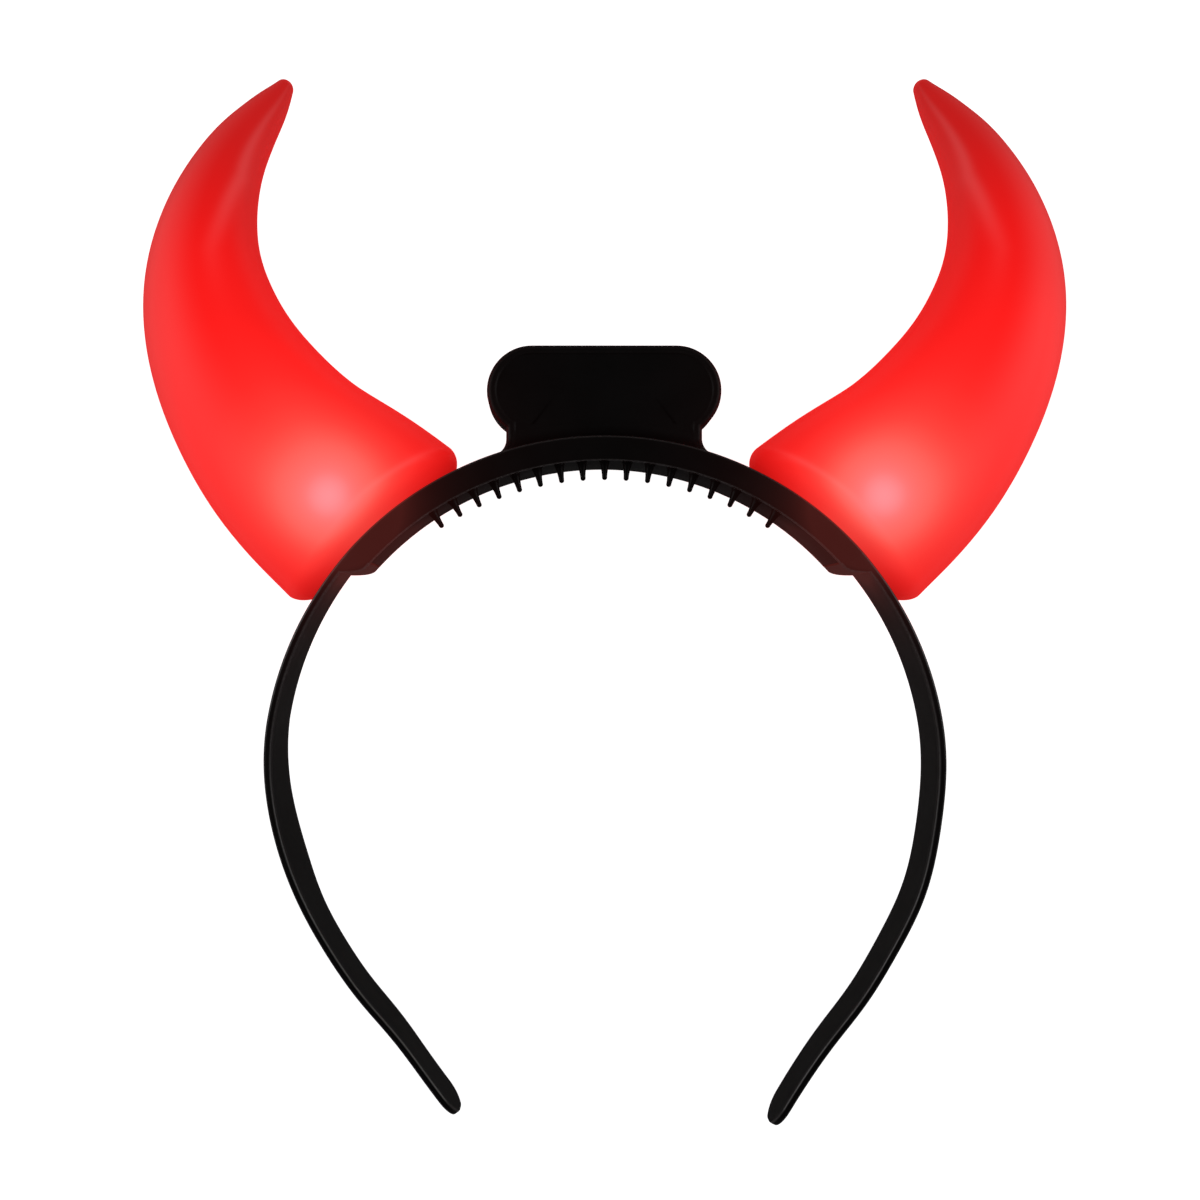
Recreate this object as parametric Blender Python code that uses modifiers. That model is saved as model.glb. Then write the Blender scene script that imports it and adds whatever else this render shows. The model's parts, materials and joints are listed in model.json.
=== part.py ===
"""Devil horns headband: two hollow lit horns on a thin hair band, lying on its back.

Every piece is modelled as the headband is worn: X to the wearer's left, Y up, Z to the front,
in metres, with the origin at the centre of the crown's circle. An empty then tilts and lifts
them all, until the backs of the horns and the tips of the arms rest on the plane Z = 0.
"""

import math

import bmesh
import bpy
import numpy as np
from mathutils import Matrix, Vector

# Clearance between pieces that touch on the real thing
GAP = 0.0003

# Crown: the channel over the top of the head
BAND_RADIUS = 0.0665
BAND_DEPTH = 0.016
HOUSING_HEIGHT = 0.0048
HOUSING_HALF_ANGLE = 48.5
HOUSING_END_LENGTH = 0.0040
CHANNEL_ROOF = 0.0012
CHANNEL_WALL = 0.0012
EDGE_CHAMFER = 0.0004

HOUSING_END_CURVE = 1.6

# Arms: they follow the crown's circle down to ARC_HALF_ANGLE, and then bend less and less
ARC_HALF_ANGLE = 80.0
ARM_LENGTH = 0.0894
ARM_THICKNESS = 0.0015
ARM_SIDE_STEP = 0.00025
ARM_TIP_WIDTH = 0.0098

# Share of ARM_LENGTH, and how many degrees each arm has turned inwards since the circle's end.
# The soft plastic has taken a set: the left arm bends in more, and its back leans inwards
ARM_BEND_COLUMNS = ("share", "turned_right", "turned_left", "lean_right", "lean_left")
ARM_BEND = (
    (0.00, 0.0, 0.0, 0.0, 2.5),
    (0.14, 13.0, 14.5, 0.0, 5.0),
    (0.32, 22.5, 28.5, 0.0, 7.5),
    (0.46, 36.0, 38.0, 0.0, 4.5),
    (0.60, 41.0, 44.5, 0.0, 4.0),
    (0.72, 48.0, 51.0, 0.0, 4.0),
    (0.84, 44.0, 46.0, 0.0, 2.5),
    (1.00, 39.0, 48.0, 0.0, 3.0),
)

# Upright case in the middle of the crown
CASE_WIDTH = 0.0460
CASE_RISE = 0.0182
CASE_NECK_INSET = 0.0038
CASE_NECK_HEIGHT = 0.0022
CASE_NECK_FILLET = 0.0040
CASE_DEPTH = 0.0090
CASE_WALL = 0.0014
CASE_RIM_ROUNDING = 0.0010

# Cover strip under the channel, with its comb teeth
COVER_THICKNESS = 0.0012
TOOTH_COUNT = 17
TOOTH_PITCH = 4.1
TOOTH_LENGTH = 0.0036
TOOTH_ROOT_RADIUS = 0.0008
TOOTH_TIP_RADIUS = 0.0005
TOOTH_EDGE_MARGIN = 0.0002

# Share of TOOTH_LENGTH, and how much of the way from root to tip radius the tooth has narrowed;
# past 1 the round end closes in
TOOTH_TAPER_COLUMNS = ("share", "narrowed")
TOOTH_TAPER = (
    (0.00, 0.00),
    (0.30, 0.30),
    (0.78, 0.90),
    (0.92, 1.35),
    (1.00, 1.75),
)

# Horns
HORN_ANGLE = 42.1
HORN_LENGTH = 0.1050
HORN_WIDTH = 0.0450
HORN_DEPTH = 0.0296
HORN_WALL = 0.0011
HORN_SEAT_WIDTH = 0.0362
HORN_SEAT_MARGIN = 0.0005
HORN_SHOULDER_HEIGHT = 0.0052
HORN_SHOULDER_POWER = 1.6
HORN_SQUARE_POWER = 2.3

# Share of HORN_LENGTH, lean in degrees outwards from the seat's axis, and the section's
# width and depth as shares of HORN_WIDTH and HORN_DEPTH
HORN_COLUMNS = ("share", "lean", "width", "depth")
HORN_SECTIONS = (
    (0.00, 6.0, 0.990, 0.850),
    (0.12, 11.0, 0.930, 0.890),
    (0.25, -2.5, 0.815, 0.945),
    (0.40, -14.5, 0.700, 1.000),
    (0.55, -32.5, 0.585, 0.950),
    (0.70, -54.0, 0.435, 0.775),
    (0.80, -67.0, 0.320, 0.595),
    (0.90, -80.0, 0.215, 0.370),
    (1.00, -74.0, 0.042, 0.065),
)
HORN_LEVEL_SHARE = 0.30
HORN_HOLLOW_END_SHARE = 0.93

# Shares of HORN_SHOULDER_HEIGHT at which the shoulder has a section, and angles of the tip's dome
SHOULDER_SHARES = (0.03, 0.20, 0.42, 0.68, 1.00)
TIP_DOME_ANGLES = (35.0, 62.0, 80.0)

# Lamps: common 5 mm ones, each on a boss of the band, a little outwards of the horn's middle
LED_OFFSET_ANGLE = 1.9
LED_DIAMETER = 0.0050
LED_LENGTH = 0.0086
LED_FLANGE_LIP = 0.0004
LED_FLANGE_HEIGHT = 0.0010
BOSS_MARGIN = 0.0011
BOSS_HEIGHT = 0.0035
WIRE_HOLE_DIAMETER = 0.0026

# How finely curved shapes are divided
ARC_STEP_ANGLE = 3.0
END_RAMP_SHARES = (0.0, 0.35, 0.65, 0.88, 1.0)
ARM_STATIONS = 16
ARM_TIP_STATIONS = 6
ARM_TIP_LAST_ANGLE = 82.0
RIM_STATIONS = 3
CORNER_POINTS = 14
FLARE_POINTS = 6
CASE_FOOT_POINTS = 15
HORN_RING_POINTS = 24
HORN_STATIONS = 17
ROUND_SIDES = 16
TOOTH_SIDES = 8
CUTTER_SIDES = 128
SHARP_ANGLE = 35.0

# How far a cutter reaches past what it cuts, how far a joined piece sinks into the crown's
# face, how close two points are to be one, and the steps used to follow a bent line
OVERCUT = 0.0020
FLARE_SINK = 0.00015
MERGE_DISTANCE = 0.00002
PATH_STEPS = 2000

# Steepest lean at which the headband may lie, and how often the search for it halves
STEEPEST_REST = 20.0
REST_HALVINGS = 40

# What follows from the sizes above
ROOF_MIDDLE_RADIUS = BAND_RADIUS - CHANNEL_ROOF / 2
CASE_FOOT_RADIUS = BAND_RADIUS - FLARE_SINK - CASE_RIM_ROUNDING - OVERCUT
CHANNEL_HALF_ANGLE = HOUSING_HALF_ANGLE - math.degrees(CHANNEL_WALL / BAND_RADIUS)
ARM_TOP_WIDTH = BAND_DEPTH - 2 * ARM_SIDE_STEP
HORN_SEAT_DEPTH = BAND_DEPTH - 2 * HORN_SEAT_MARGIN
LED_ANGLE = HORN_ANGLE + LED_OFFSET_ANGLE
LED_FLANGE_DIAMETER = LED_DIAMETER + 2 * LED_FLANGE_LIP
BOSS_DIAMETER = LED_FLANGE_DIAMETER + 2 * BOSS_MARGIN
SIDES = ((1, "right"), (-1, "left"))


def smooth_column(table, columns, name, shares):
    """Read one column of a table between its rows, along a smooth curve through them."""
    rows = np.array(table, dtype=float)
    x = rows[:, 0]
    y = rows[:, columns.index(name)]
    slope = np.gradient(y, x)
    index = np.clip(np.searchsorted(x, shares, side="right") - 1, 0, len(x) - 2)
    step = x[index + 1] - x[index]
    t = (shares - x[index]) / step
    start = (2 * t**3 - 3 * t**2 + 1) * y[index] + (t**3 - 2 * t**2 + t) * step * slope[index]
    end = (3 * t**2 - 2 * t**3) * y[index + 1] + (t**3 - t**2) * step * slope[index + 1]
    return start + end


def on_circle(radius, degrees):
    """Points at an angle from straight up, positive towards +X, as rows of X and Y."""
    angle = np.radians(degrees)
    return np.stack([radius * np.sin(angle), radius * np.cos(angle)], axis=-1)


def arc_points(centre, radius, start, end, count):
    """Points on an arc about a centre, in degrees counted from +X anticlockwise."""
    angles = np.radians(np.linspace(start, end, count))
    return [(centre[0] + radius * math.cos(a), centre[1] + radius * math.sin(a)) for a in angles]


def plastic(name, colour, roughness, transmission=0.0):
    """A moulded plastic material."""
    material = bpy.data.materials.new(name)
    material.use_nodes = True
    shader = material.node_tree.nodes["Principled BSDF"]
    shader.inputs["Base Color"].default_value = (*colour, 1.0)
    shader.inputs["Roughness"].default_value = roughness
    shader.inputs["Metallic"].default_value = 0.0
    shader.inputs["Transmission Weight"].default_value = transmission
    material.diffuse_color = (*colour, 1.0)
    return material


def add_object(name, mesh, collection, material=None):
    """Put a mesh into a collection as an object, shaded smooth; without a material it is a cutter."""
    item = bpy.data.objects.new(name, mesh)
    collection.objects.link(item)
    mesh.shade_smooth()
    mesh.set_sharp_from_angle(angle=math.radians(SHARP_ANGLE))
    if material is None:
        item.hide_render = True
        item.display_type = "WIRE"
    else:
        mesh.materials.append(material)
    return item


def loft(name, rings):
    """A mesh through rings of points with the same count, capped at its ends."""
    rings = np.asarray(rings)
    count = rings.shape[1]
    work = bmesh.new()
    rows = [[work.verts.new(point) for point in ring] for ring in rings]
    for low, high in zip(rows, rows[1:]):
        for i in range(count):
            j = (i + 1) % count
            work.faces.new((low[i], low[j], high[j], high[i]))
    work.faces.new(reversed(rows[0]))
    work.faces.new(rows[-1])
    bmesh.ops.recalc_face_normals(work, faces=work.faces)
    mesh = bpy.data.meshes.new(name)
    work.to_mesh(mesh)
    work.free()
    return mesh


def rod(name, radius, length, sides):
    """A closed cylinder standing on its origin along its own Z."""
    work = bmesh.new()
    bmesh.ops.create_cone(
        work, cap_ends=True, segments=sides, radius1=radius, radius2=radius, depth=length,
        matrix=Matrix.Translation((0.0, 0.0, length / 2)),
    )
    mesh = bpy.data.meshes.new(name)
    work.to_mesh(mesh)
    work.free()
    return mesh


def level_rings(outlines):
    """Rings for a loft from pairs of a flat outline and its height Z."""
    return [[(x, y, z) for x, y in outline] for outline, z in outlines]


def stand_on_crown(item, degrees, radius):
    """Turn an object's own Z along the crown's radius at an angle, and set it at a radius."""
    x, y = on_circle(radius, degrees)
    outwards = Vector((x, y, 0.0))
    item.rotation_mode = "QUATERNION"
    item.rotation_quaternion = outwards.to_track_quat("Z", "Y")
    item.location = outwards


def boolean(item, operation, other):
    """Join another object to this one, or cut it away."""
    modifier = item.modifiers.new(operation.lower() + "_" + other.name, "BOOLEAN")
    modifier.operation = operation
    modifier.object = other
    modifier.solver = "EXACT"


def arm_path(distances, word):
    """Places and inward directions on one side's outer face, by distance from the crown's top."""
    arc_length = BAND_RADIUS * math.radians(ARC_HALF_ANGLE)
    total = arc_length + ARM_LENGTH
    s = np.linspace(0.0, total, PATH_STEPS)
    share = np.clip((s - arc_length) / ARM_LENGTH, 0.0, 1.0)
    on_arc = np.degrees(s / BAND_RADIUS) - 90.0
    turned = smooth_column(ARM_BEND, ARM_BEND_COLUMNS, "turned_" + word, share)
    past_arc = ARC_HALF_ANGLE - 90.0 + turned
    inwards = np.where(s < arc_length, on_arc, past_arc)
    turn = np.radians(inwards)
    step = total / (PATH_STEPS - 1)
    across = -np.sin(turn) * step
    down = -np.cos(turn) * step
    x = np.concatenate([[0.0], np.cumsum((across[1:] + across[:-1]) / 2)])
    y = BAND_RADIUS + np.concatenate([[0.0], np.cumsum((down[1:] + down[:-1]) / 2)])
    place = np.stack([np.interp(distances, s, x), np.interp(distances, s, y)], axis=-1)
    angle = np.interp(distances, s, turn)
    inward = np.stack([-np.cos(angle), np.sin(angle)], axis=-1)
    return place, inward


def side_rings(side, word):
    """Sections of the band from the crown's top to one arm's tip, each a chamfered rectangle.

    Where an arm leans, its section is turned about its front face.
    """
    housing_end = BAND_RADIUS * math.radians(HOUSING_HALF_ANGLE)
    arm_start = housing_end + HOUSING_END_LENGTH
    arc_length = BAND_RADIUS * math.radians(ARC_HALF_ANGLE)
    total = arc_length + ARM_LENGTH
    tip_radius = ARM_TIP_WIDTH / 2
    crown_angles = np.arange(0.0, HOUSING_HALF_ANGLE - ARC_STEP_ANGLE / 2, ARC_STEP_ANGLE)
    crown = BAND_RADIUS * np.radians(crown_angles)
    ramp = housing_end + HOUSING_END_LENGTH * np.array(END_RAMP_SHARES)
    arm = np.linspace(arm_start, total - tip_radius, ARM_STATIONS)[1:]
    rounding = np.radians(np.linspace(0.0, ARM_TIP_LAST_ANGLE, ARM_TIP_STATIONS))[1:]
    tip = total - tip_radius + tip_radius * np.sin(rounding)
    distances = np.concatenate([crown, ramp, arm, tip])

    arm_share = np.clip((distances - arm_start) / (total - arm_start), 0.0, 1.0)
    width = ARM_TOP_WIDTH + (ARM_TIP_WIDTH - ARM_TOP_WIDTH) * arm_share
    ramp_share = np.clip((distances - housing_end) / HOUSING_END_LENGTH, 0.0, 1.0)
    width = np.where(arm_share > 0.0, width, BAND_DEPTH + (ARM_TOP_WIDTH - BAND_DEPTH) * ramp_share)
    past_tip = np.clip((distances - (total - tip_radius)) / tip_radius, 0.0, 1.0)
    width = width * np.sqrt(1.0 - past_tip**2)
    thickness = ARM_THICKNESS + (HOUSING_HEIGHT - ARM_THICKNESS) * (1.0 - ramp_share**HOUSING_END_CURVE)
    chamfer = np.minimum(EDGE_CHAMFER, width / 4)

    half = width / 2
    corner_z = [-half, chamfer - half, half - chamfer, half, half, half - chamfer, chamfer - half, -half]
    zero = np.zeros_like(half)
    low = thickness - chamfer
    corner_in = [chamfer, zero, zero, chamfer, low, thickness, thickness, low]
    past_arc = np.clip((distances - arc_length) / ARM_LENGTH, 0.0, 1.0)
    lean = smooth_column(ARM_BEND, ARM_BEND_COLUMNS, "lean_" + word, past_arc)
    lean = np.radians(lean * np.clip((distances - arm_start) / (arc_length - arm_start), 0.0, 1.0))
    place, inward = arm_path(distances, word)
    rings = np.empty((len(distances), len(corner_z), 3))
    for k, (z, depth) in enumerate(zip(corner_z, corner_in)):
        behind = half - z
        leaned = depth * np.cos(lean) + behind * np.sin(lean)
        rings[:, k, :2] = (place + inward * leaned[:, None]) * (side, 1.0)
        rings[:, k, 2] = half - behind * np.cos(lean) + depth * np.sin(lean)
    return rings


def band_rings():
    """Sections of the whole band, from the left arm's tip over the crown to the right arm's."""
    left = side_rings(-1, "left")
    return np.concatenate([left[:0:-1], side_rings(1, "right")])


def sector_rings(inner, outer, half_depth, half_angle):
    """Rectangular sections of an arc-shaped bar about the crown's centre."""
    count = 2 * max(2, math.ceil(half_angle / ARC_STEP_ANGLE)) + 1
    angles = np.linspace(-half_angle, half_angle, count)
    corners = ((inner, -half_depth), (outer, -half_depth), (outer, half_depth), (inner, half_depth))
    rings = np.empty((count, len(corners), 3))
    for k, (radius, z) in enumerate(corners):
        rings[:, k, :2] = on_circle(radius, angles)
        rings[:, k, 2] = z
    return rings


def case_corner_radius():
    """The radius of the case's round ends, which run from its top down to its neck.

    The end's arc starts at the flat top, bulges out past the neck by CASE_NECK_INSET and comes
    back to it at CASE_NECK_HEIGHT above the neck's flare.
    """
    flare_x = CASE_WIDTH / 2 - CASE_NECK_INSET + CASE_NECK_FILLET
    flare_y = math.sqrt((BAND_RADIUS - FLARE_SINK + CASE_NECK_FILLET) ** 2 - flare_x**2)
    fall = BAND_RADIUS + CASE_RISE - flare_y - CASE_NECK_HEIGHT
    return fall + CASE_NECK_INSET - math.sqrt(2 * fall * CASE_NECK_INSET)


def case_outline(inset, bottom_radius, flared):
    """The case's outline moved in by inset: a flat top, round ends and a neck.

    With flared set the neck flares into the crown, and otherwise it runs straight down.
    """
    corner = case_corner_radius()
    radius = corner - inset
    neck = CASE_WIDTH / 2 - CASE_NECK_INSET - inset
    centre_x = CASE_WIDTH / 2 - corner
    centre_y = BAND_RADIUS + CASE_RISE - corner
    neck_turn = math.degrees(math.acos((neck - centre_x) / radius))
    right = arc_points((centre_x, centre_y), radius, 90.0, -neck_turn, CORNER_POINTS)
    if flared:
        flare = CASE_NECK_FILLET + inset
        flare_x = neck + flare
        flare_y = math.sqrt((BAND_RADIUS - FLARE_SINK + CASE_NECK_FILLET) ** 2 - flare_x**2)
        flare_turn = 360.0 + math.degrees(math.atan2(-flare_y, -flare_x))
        right += arc_points((flare_x, flare_y), flare, 180.0, flare_turn, FLARE_POINTS)
        foot = math.degrees(math.atan2(flare_x, flare_y))
    else:
        foot = math.degrees(math.asin(neck / bottom_radius))
    base = on_circle(bottom_radius, np.linspace(foot, -foot, CASE_FOOT_POINTS))
    left = [(-x, y) for x, y in reversed(right)]
    return right + [tuple(point) for point in base] + left


def horn_half_size(column, size, seat, height):
    """Half of a horn's width or depth at heights above its seat."""
    share = np.clip(height / HORN_LENGTH, 0.0, 1.0)
    full = smooth_column(HORN_SECTIONS, HORN_COLUMNS, column, share) * size / 2
    rise = np.clip(height / HORN_SHOULDER_HEIGHT, 0.0, 1.0)
    turned_out = 1.0 - (1.0 - rise) ** HORN_SHOULDER_POWER
    return seat / 2 + (full - seat / 2) * turned_out


def horn_rings(side, inset):
    """Sections of a horn, or of its hollow when inset is the wall, from below the seat to the end.

    Near the seat a section follows the crown's curve, and further up it lies flat across the
    horn's centre line. The hollow starts higher by the wall, so that the shoulder keeps it too.
    """
    seat_radius = BAND_RADIUS + GAP
    end = HORN_LENGTH if inset == 0.0 else HORN_LENGTH * HORN_HOLLOW_END_SHARE
    shoulder = HORN_SHOULDER_HEIGHT * np.array(SHOULDER_SHARES)
    body = np.linspace(HORN_SHOULDER_HEIGHT, end - inset, HORN_STATIONS)[1:]
    above = np.concatenate([shoulder, body])
    foot = -OVERCUT if inset == 0.0 else -2 * OVERCUT
    height = np.concatenate([[foot], above + inset])
    nominal = np.concatenate([[0.0], above])

    fine = np.linspace(0.0, HORN_LENGTH, PATH_STEPS)
    lean = np.radians(smooth_column(HORN_SECTIONS, HORN_COLUMNS, "lean", fine / HORN_LENGTH))
    step = HORN_LENGTH / (PATH_STEPS - 1)
    along = np.concatenate([[0.0], np.cumsum((np.sin(lean[1:]) + np.sin(lean[:-1])) / 2)]) * step
    up = np.concatenate([[0.0], np.cumsum((np.cos(lean[1:]) + np.cos(lean[:-1])) / 2)]) * step

    level = np.clip(height / (HORN_LENGTH * HORN_LEVEL_SHARE), 0.0, 1.0)
    level = level * level * (3.0 - 2.0 * level)
    turn = np.interp(height, fine, lean) * level
    half_width = horn_half_size("width", HORN_WIDTH, HORN_SEAT_WIDTH, nominal) - inset
    half_depth = horn_half_size("depth", HORN_DEPTH, HORN_SEAT_DEPTH, nominal) - inset
    centre_along = np.interp(height, fine, along)
    centre_up = np.interp(height, fine, up) + np.minimum(height, 0.0)

    if inset == 0.0:
        dome = np.radians(TIP_DOME_ANGLES)
        tip = half_width[-1]
        reach = tip * np.sin(dome)
        centre_along = np.append(centre_along, centre_along[-1] + reach * np.sin(turn[-1]))
        centre_up = np.append(centre_up, centre_up[-1] + reach * np.cos(turn[-1]))
        half_width = np.append(half_width, tip * np.cos(dome))
        half_depth = np.append(half_depth, half_depth[-1] * np.cos(dome))
        turn = np.append(turn, np.full(len(dome), turn[-1]))
        level = np.append(level, np.ones(len(dome)))

    phase = np.linspace(0.0, 2 * math.pi, HORN_RING_POINTS, endpoint=False)
    power = 2.0 / HORN_SQUARE_POWER
    across = np.sign(np.cos(phase)) * np.abs(np.cos(phase)) ** power
    depth = np.sign(np.sin(phase)) * np.abs(np.sin(phase)) ** power
    width_offset = half_width[:, None] * across
    bow = np.sqrt(np.maximum(seat_radius**2 - width_offset**2, 0.0)) - seat_radius
    bow *= (1.0 - level)[:, None]
    sine = np.sin(turn)[:, None]
    cosine = np.cos(turn)[:, None]
    tangent = centre_along[:, None] + width_offset * cosine + bow * sine
    radial = seat_radius + centre_up[:, None] - width_offset * sine + bow * cosine

    seat = math.radians(HORN_ANGLE)
    rings = np.empty((len(half_width), HORN_RING_POINTS, 3))
    rings[..., 0] = side * (radial * math.sin(seat) + tangent * math.cos(seat))
    rings[..., 1] = radial * math.cos(seat) - tangent * math.sin(seat)
    rings[..., 2] = half_depth[:, None] * depth
    return rings


def case_rings():
    """Sections of the case from back to front, whose edges are rounded by CASE_RIM_ROUNDING.

    The foot reaches down past the neck's flare at every section, and the cut for the channel
    takes away what stands in it.
    """
    rounding = np.linspace(0.0, math.pi / 2, RIM_STATIONS)
    insets = CASE_RIM_ROUNDING * (1.0 - np.sin(rounding))
    heights = CASE_RIM_ROUNDING * (1.0 - np.cos(rounding)) - CASE_DEPTH / 2
    outlines = [case_outline(inset, CASE_FOOT_RADIUS, True) for inset in insets]
    back = list(zip(outlines, heights))
    front = [(outline, -height) for outline, height in reversed(back)]
    return level_rings(back + front)


def build_band(parts, cutters, material):
    """The channel and arms, with the case and lamp bosses joined on and the hollows cut out."""
    band = add_object("band", loft("band", band_rings()), parts, material)
    case = add_object("case_body", loft("case_body", case_rings()), cutters)
    boolean(band, "UNION", case)

    for side, word in SIDES:
        length = BAND_RADIUS + BOSS_HEIGHT - ROOF_MIDDLE_RADIUS
        boss = add_object("boss_" + word, rod("boss", BOSS_DIAMETER / 2, length, ROUND_SIDES), cutters)
        stand_on_crown(boss, side * LED_ANGLE, ROOF_MIDDLE_RADIUS)
        boolean(band, "UNION", boss)

    channel_inner = BAND_RADIUS - HOUSING_HEIGHT - OVERCUT
    channel_outer = BAND_RADIUS - CHANNEL_ROOF
    channel_half_depth = BAND_DEPTH / 2 - CHANNEL_WALL
    rings = sector_rings(channel_inner, channel_outer, channel_half_depth, CHANNEL_HALF_ANGLE)
    boolean(band, "DIFFERENCE", add_object("channel_space", loft("channel_space", rings), cutters))

    inside = case_outline(CASE_WALL, channel_outer - OVERCUT, False)
    space_half = CASE_DEPTH / 2 - CASE_WALL
    space = loft("case_space", level_rings([(inside, -space_half), (inside, space_half)]))
    boolean(band, "DIFFERENCE", add_object("case_space", space, cutters))

    for side, word in SIDES:
        length = CHANNEL_ROOF + BOSS_HEIGHT + 2 * OVERCUT
        hole = rod("wire_hole", WIRE_HOLE_DIAMETER / 2, length, TOOTH_SIDES)
        cutter = add_object("wire_hole_" + word, hole, cutters)
        stand_on_crown(cutter, side * LED_ANGLE, BAND_RADIUS - CHANNEL_ROOF - OVERCUT)
        boolean(band, "DIFFERENCE", cutter)
    return band


def build_comb_cover(parts, cutters, material):
    """The strip that closes the channel, flush with its walls, and the teeth on its front edge."""
    inner = BAND_RADIUS - HOUSING_HEIGHT
    half_depth = BAND_DEPTH / 2 - CHANNEL_WALL - GAP
    half_angle = CHANNEL_HALF_ANGLE - math.degrees(GAP / inner)
    strip = loft("comb_cover", sector_rings(inner, inner + COVER_THICKNESS, half_depth, half_angle))
    cover = add_object("comb_cover", strip, parts, material)

    taper = np.array(TOOTH_TAPER)
    narrowed = taper[:, TOOTH_TAPER_COLUMNS.index("narrowed")]
    reach = np.concatenate([[-COVER_THICKNESS / 2], taper[:, 0] * TOOTH_LENGTH])
    tooth_radius = TOOTH_ROOT_RADIUS - (TOOTH_ROOT_RADIUS - TOOTH_TIP_RADIUS) * narrowed
    radius = np.concatenate([[TOOTH_ROOT_RADIUS], tooth_radius])
    phase = (np.arange(TOOTH_SIDES) + 0.5) * 2 * math.pi / TOOTH_SIDES
    centre_z = half_depth - TOOTH_ROOT_RADIUS - TOOTH_EDGE_MARGIN

    work = bmesh.new()
    for index in range(TOOTH_COUNT):
        angle = (index - (TOOTH_COUNT - 1) / 2) * TOOTH_PITCH
        outwards = on_circle(1.0, angle)
        sideways = on_circle(1.0, angle + 90.0)
        rings = np.empty((len(reach), TOOTH_SIDES, 3))
        axis = (inner - reach)[:, None, None] * outwards
        rings[..., :2] = axis + (radius[:, None] * np.cos(phase))[..., None] * sideways
        rings[..., 2] = centre_z + radius[:, None] * np.sin(phase)
        tooth = loft("tooth", rings)
        work.from_mesh(tooth)
        bpy.data.meshes.remove(tooth)
    mesh = bpy.data.meshes.new("teeth")
    work.to_mesh(mesh)
    work.free()
    boolean(cover, "UNION", add_object("teeth", mesh, cutters))
    return cover


def build_horn(side, word, parts, cutters, seat_cutter, material):
    """A hollow horn, open underneath, cut to the curve of the crown that it stands on."""
    horn = add_object("horn_" + word, loft("horn_" + word, horn_rings(side, 0.0)), parts, material)
    hollow = add_object("hollow_" + word, loft("hollow_" + word, horn_rings(side, HORN_WALL)), cutters)
    boolean(horn, "DIFFERENCE", hollow)
    boolean(horn, "DIFFERENCE", seat_cutter)
    return horn


def build_led(side, word, parts, material):
    """A round-topped lamp with a flange at its foot, turned about its own Z."""
    radius = LED_DIAMETER / 2
    dome = np.radians(np.linspace(90.0, 0.0, 6))
    profile = [(radius * math.cos(a), LED_LENGTH - radius + radius * math.sin(a)) for a in dome]
    profile[0] = (0.0, LED_LENGTH)
    flange = LED_FLANGE_DIAMETER / 2
    profile += [(radius, LED_FLANGE_HEIGHT), (flange, LED_FLANGE_HEIGHT), (flange, 0.0), (0.0, 0.0)]
    mesh = bpy.data.meshes.new("led_" + word)
    edges = [(i, i + 1) for i in range(len(profile) - 1)]
    mesh.from_pydata([(x, 0.0, z) for x, z in profile], edges, [])
    led = add_object("led_" + word, mesh, parts, material)
    screw = led.modifiers.new("turned", "SCREW")
    screw.axis = "Z"
    screw.steps = ROUND_SIDES
    screw.render_steps = ROUND_SIDES
    screw.use_merge_vertices = True
    screw.merge_threshold = MERGE_DISTANCE
    stand_on_crown(led, side * LED_ANGLE, BAND_RADIUS + BOSS_HEIGHT + GAP)
    return led


def evaluated_points(items):
    """All points of some objects, with their modifiers, in world space."""
    depsgraph = bpy.context.evaluated_depsgraph_get()
    clouds = []
    for item in items:
        shown = item.evaluated_get(depsgraph)
        mesh = shown.to_mesh()
        flat = np.empty(len(mesh.vertices) * 3)
        mesh.vertices.foreach_get("co", flat)
        matrix = np.array(shown.matrix_world)
        clouds.append(flat.reshape(-1, 3) @ matrix[:3, :3].T + matrix[:3, 3])
        shown.to_mesh_clear()
    return np.concatenate(clouds)


def lay_on_back(parts, cutters, band, horns):
    """Tilt everything until arm tips and horn backs are level, and centre it over the origin."""
    bpy.context.view_layer.update()
    arms = evaluated_points([band])
    backs = evaluated_points(horns)
    low = 0.0
    high = math.radians(STEEPEST_REST)
    for _ in range(REST_HALVINGS):
        tilt = (low + high) / 2
        arm_floor = (arms[:, 1] * math.sin(tilt) + arms[:, 2] * math.cos(tilt)).min()
        horn_floor = (backs[:, 1] * math.sin(tilt) + backs[:, 2] * math.cos(tilt)).min()
        if horn_floor < arm_floor:
            low = tilt
        else:
            high = tilt
    everything = evaluated_points(parts.objects)
    forward = everything[:, 1] * math.cos(tilt) - everything[:, 2] * math.sin(tilt)
    upward = everything[:, 1] * math.sin(tilt) + everything[:, 2] * math.cos(tilt)
    rest = bpy.data.objects.new("rest_on_back", None)
    parts.objects.link(rest)
    rest.rotation_euler = (tilt, 0.0, 0.0)
    rest.location = (0.0, -(forward.min() + forward.max()) / 2, -upward.min())
    for item in list(parts.objects) + list(cutters.objects):
        if item != rest:
            item.parent = rest


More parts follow.
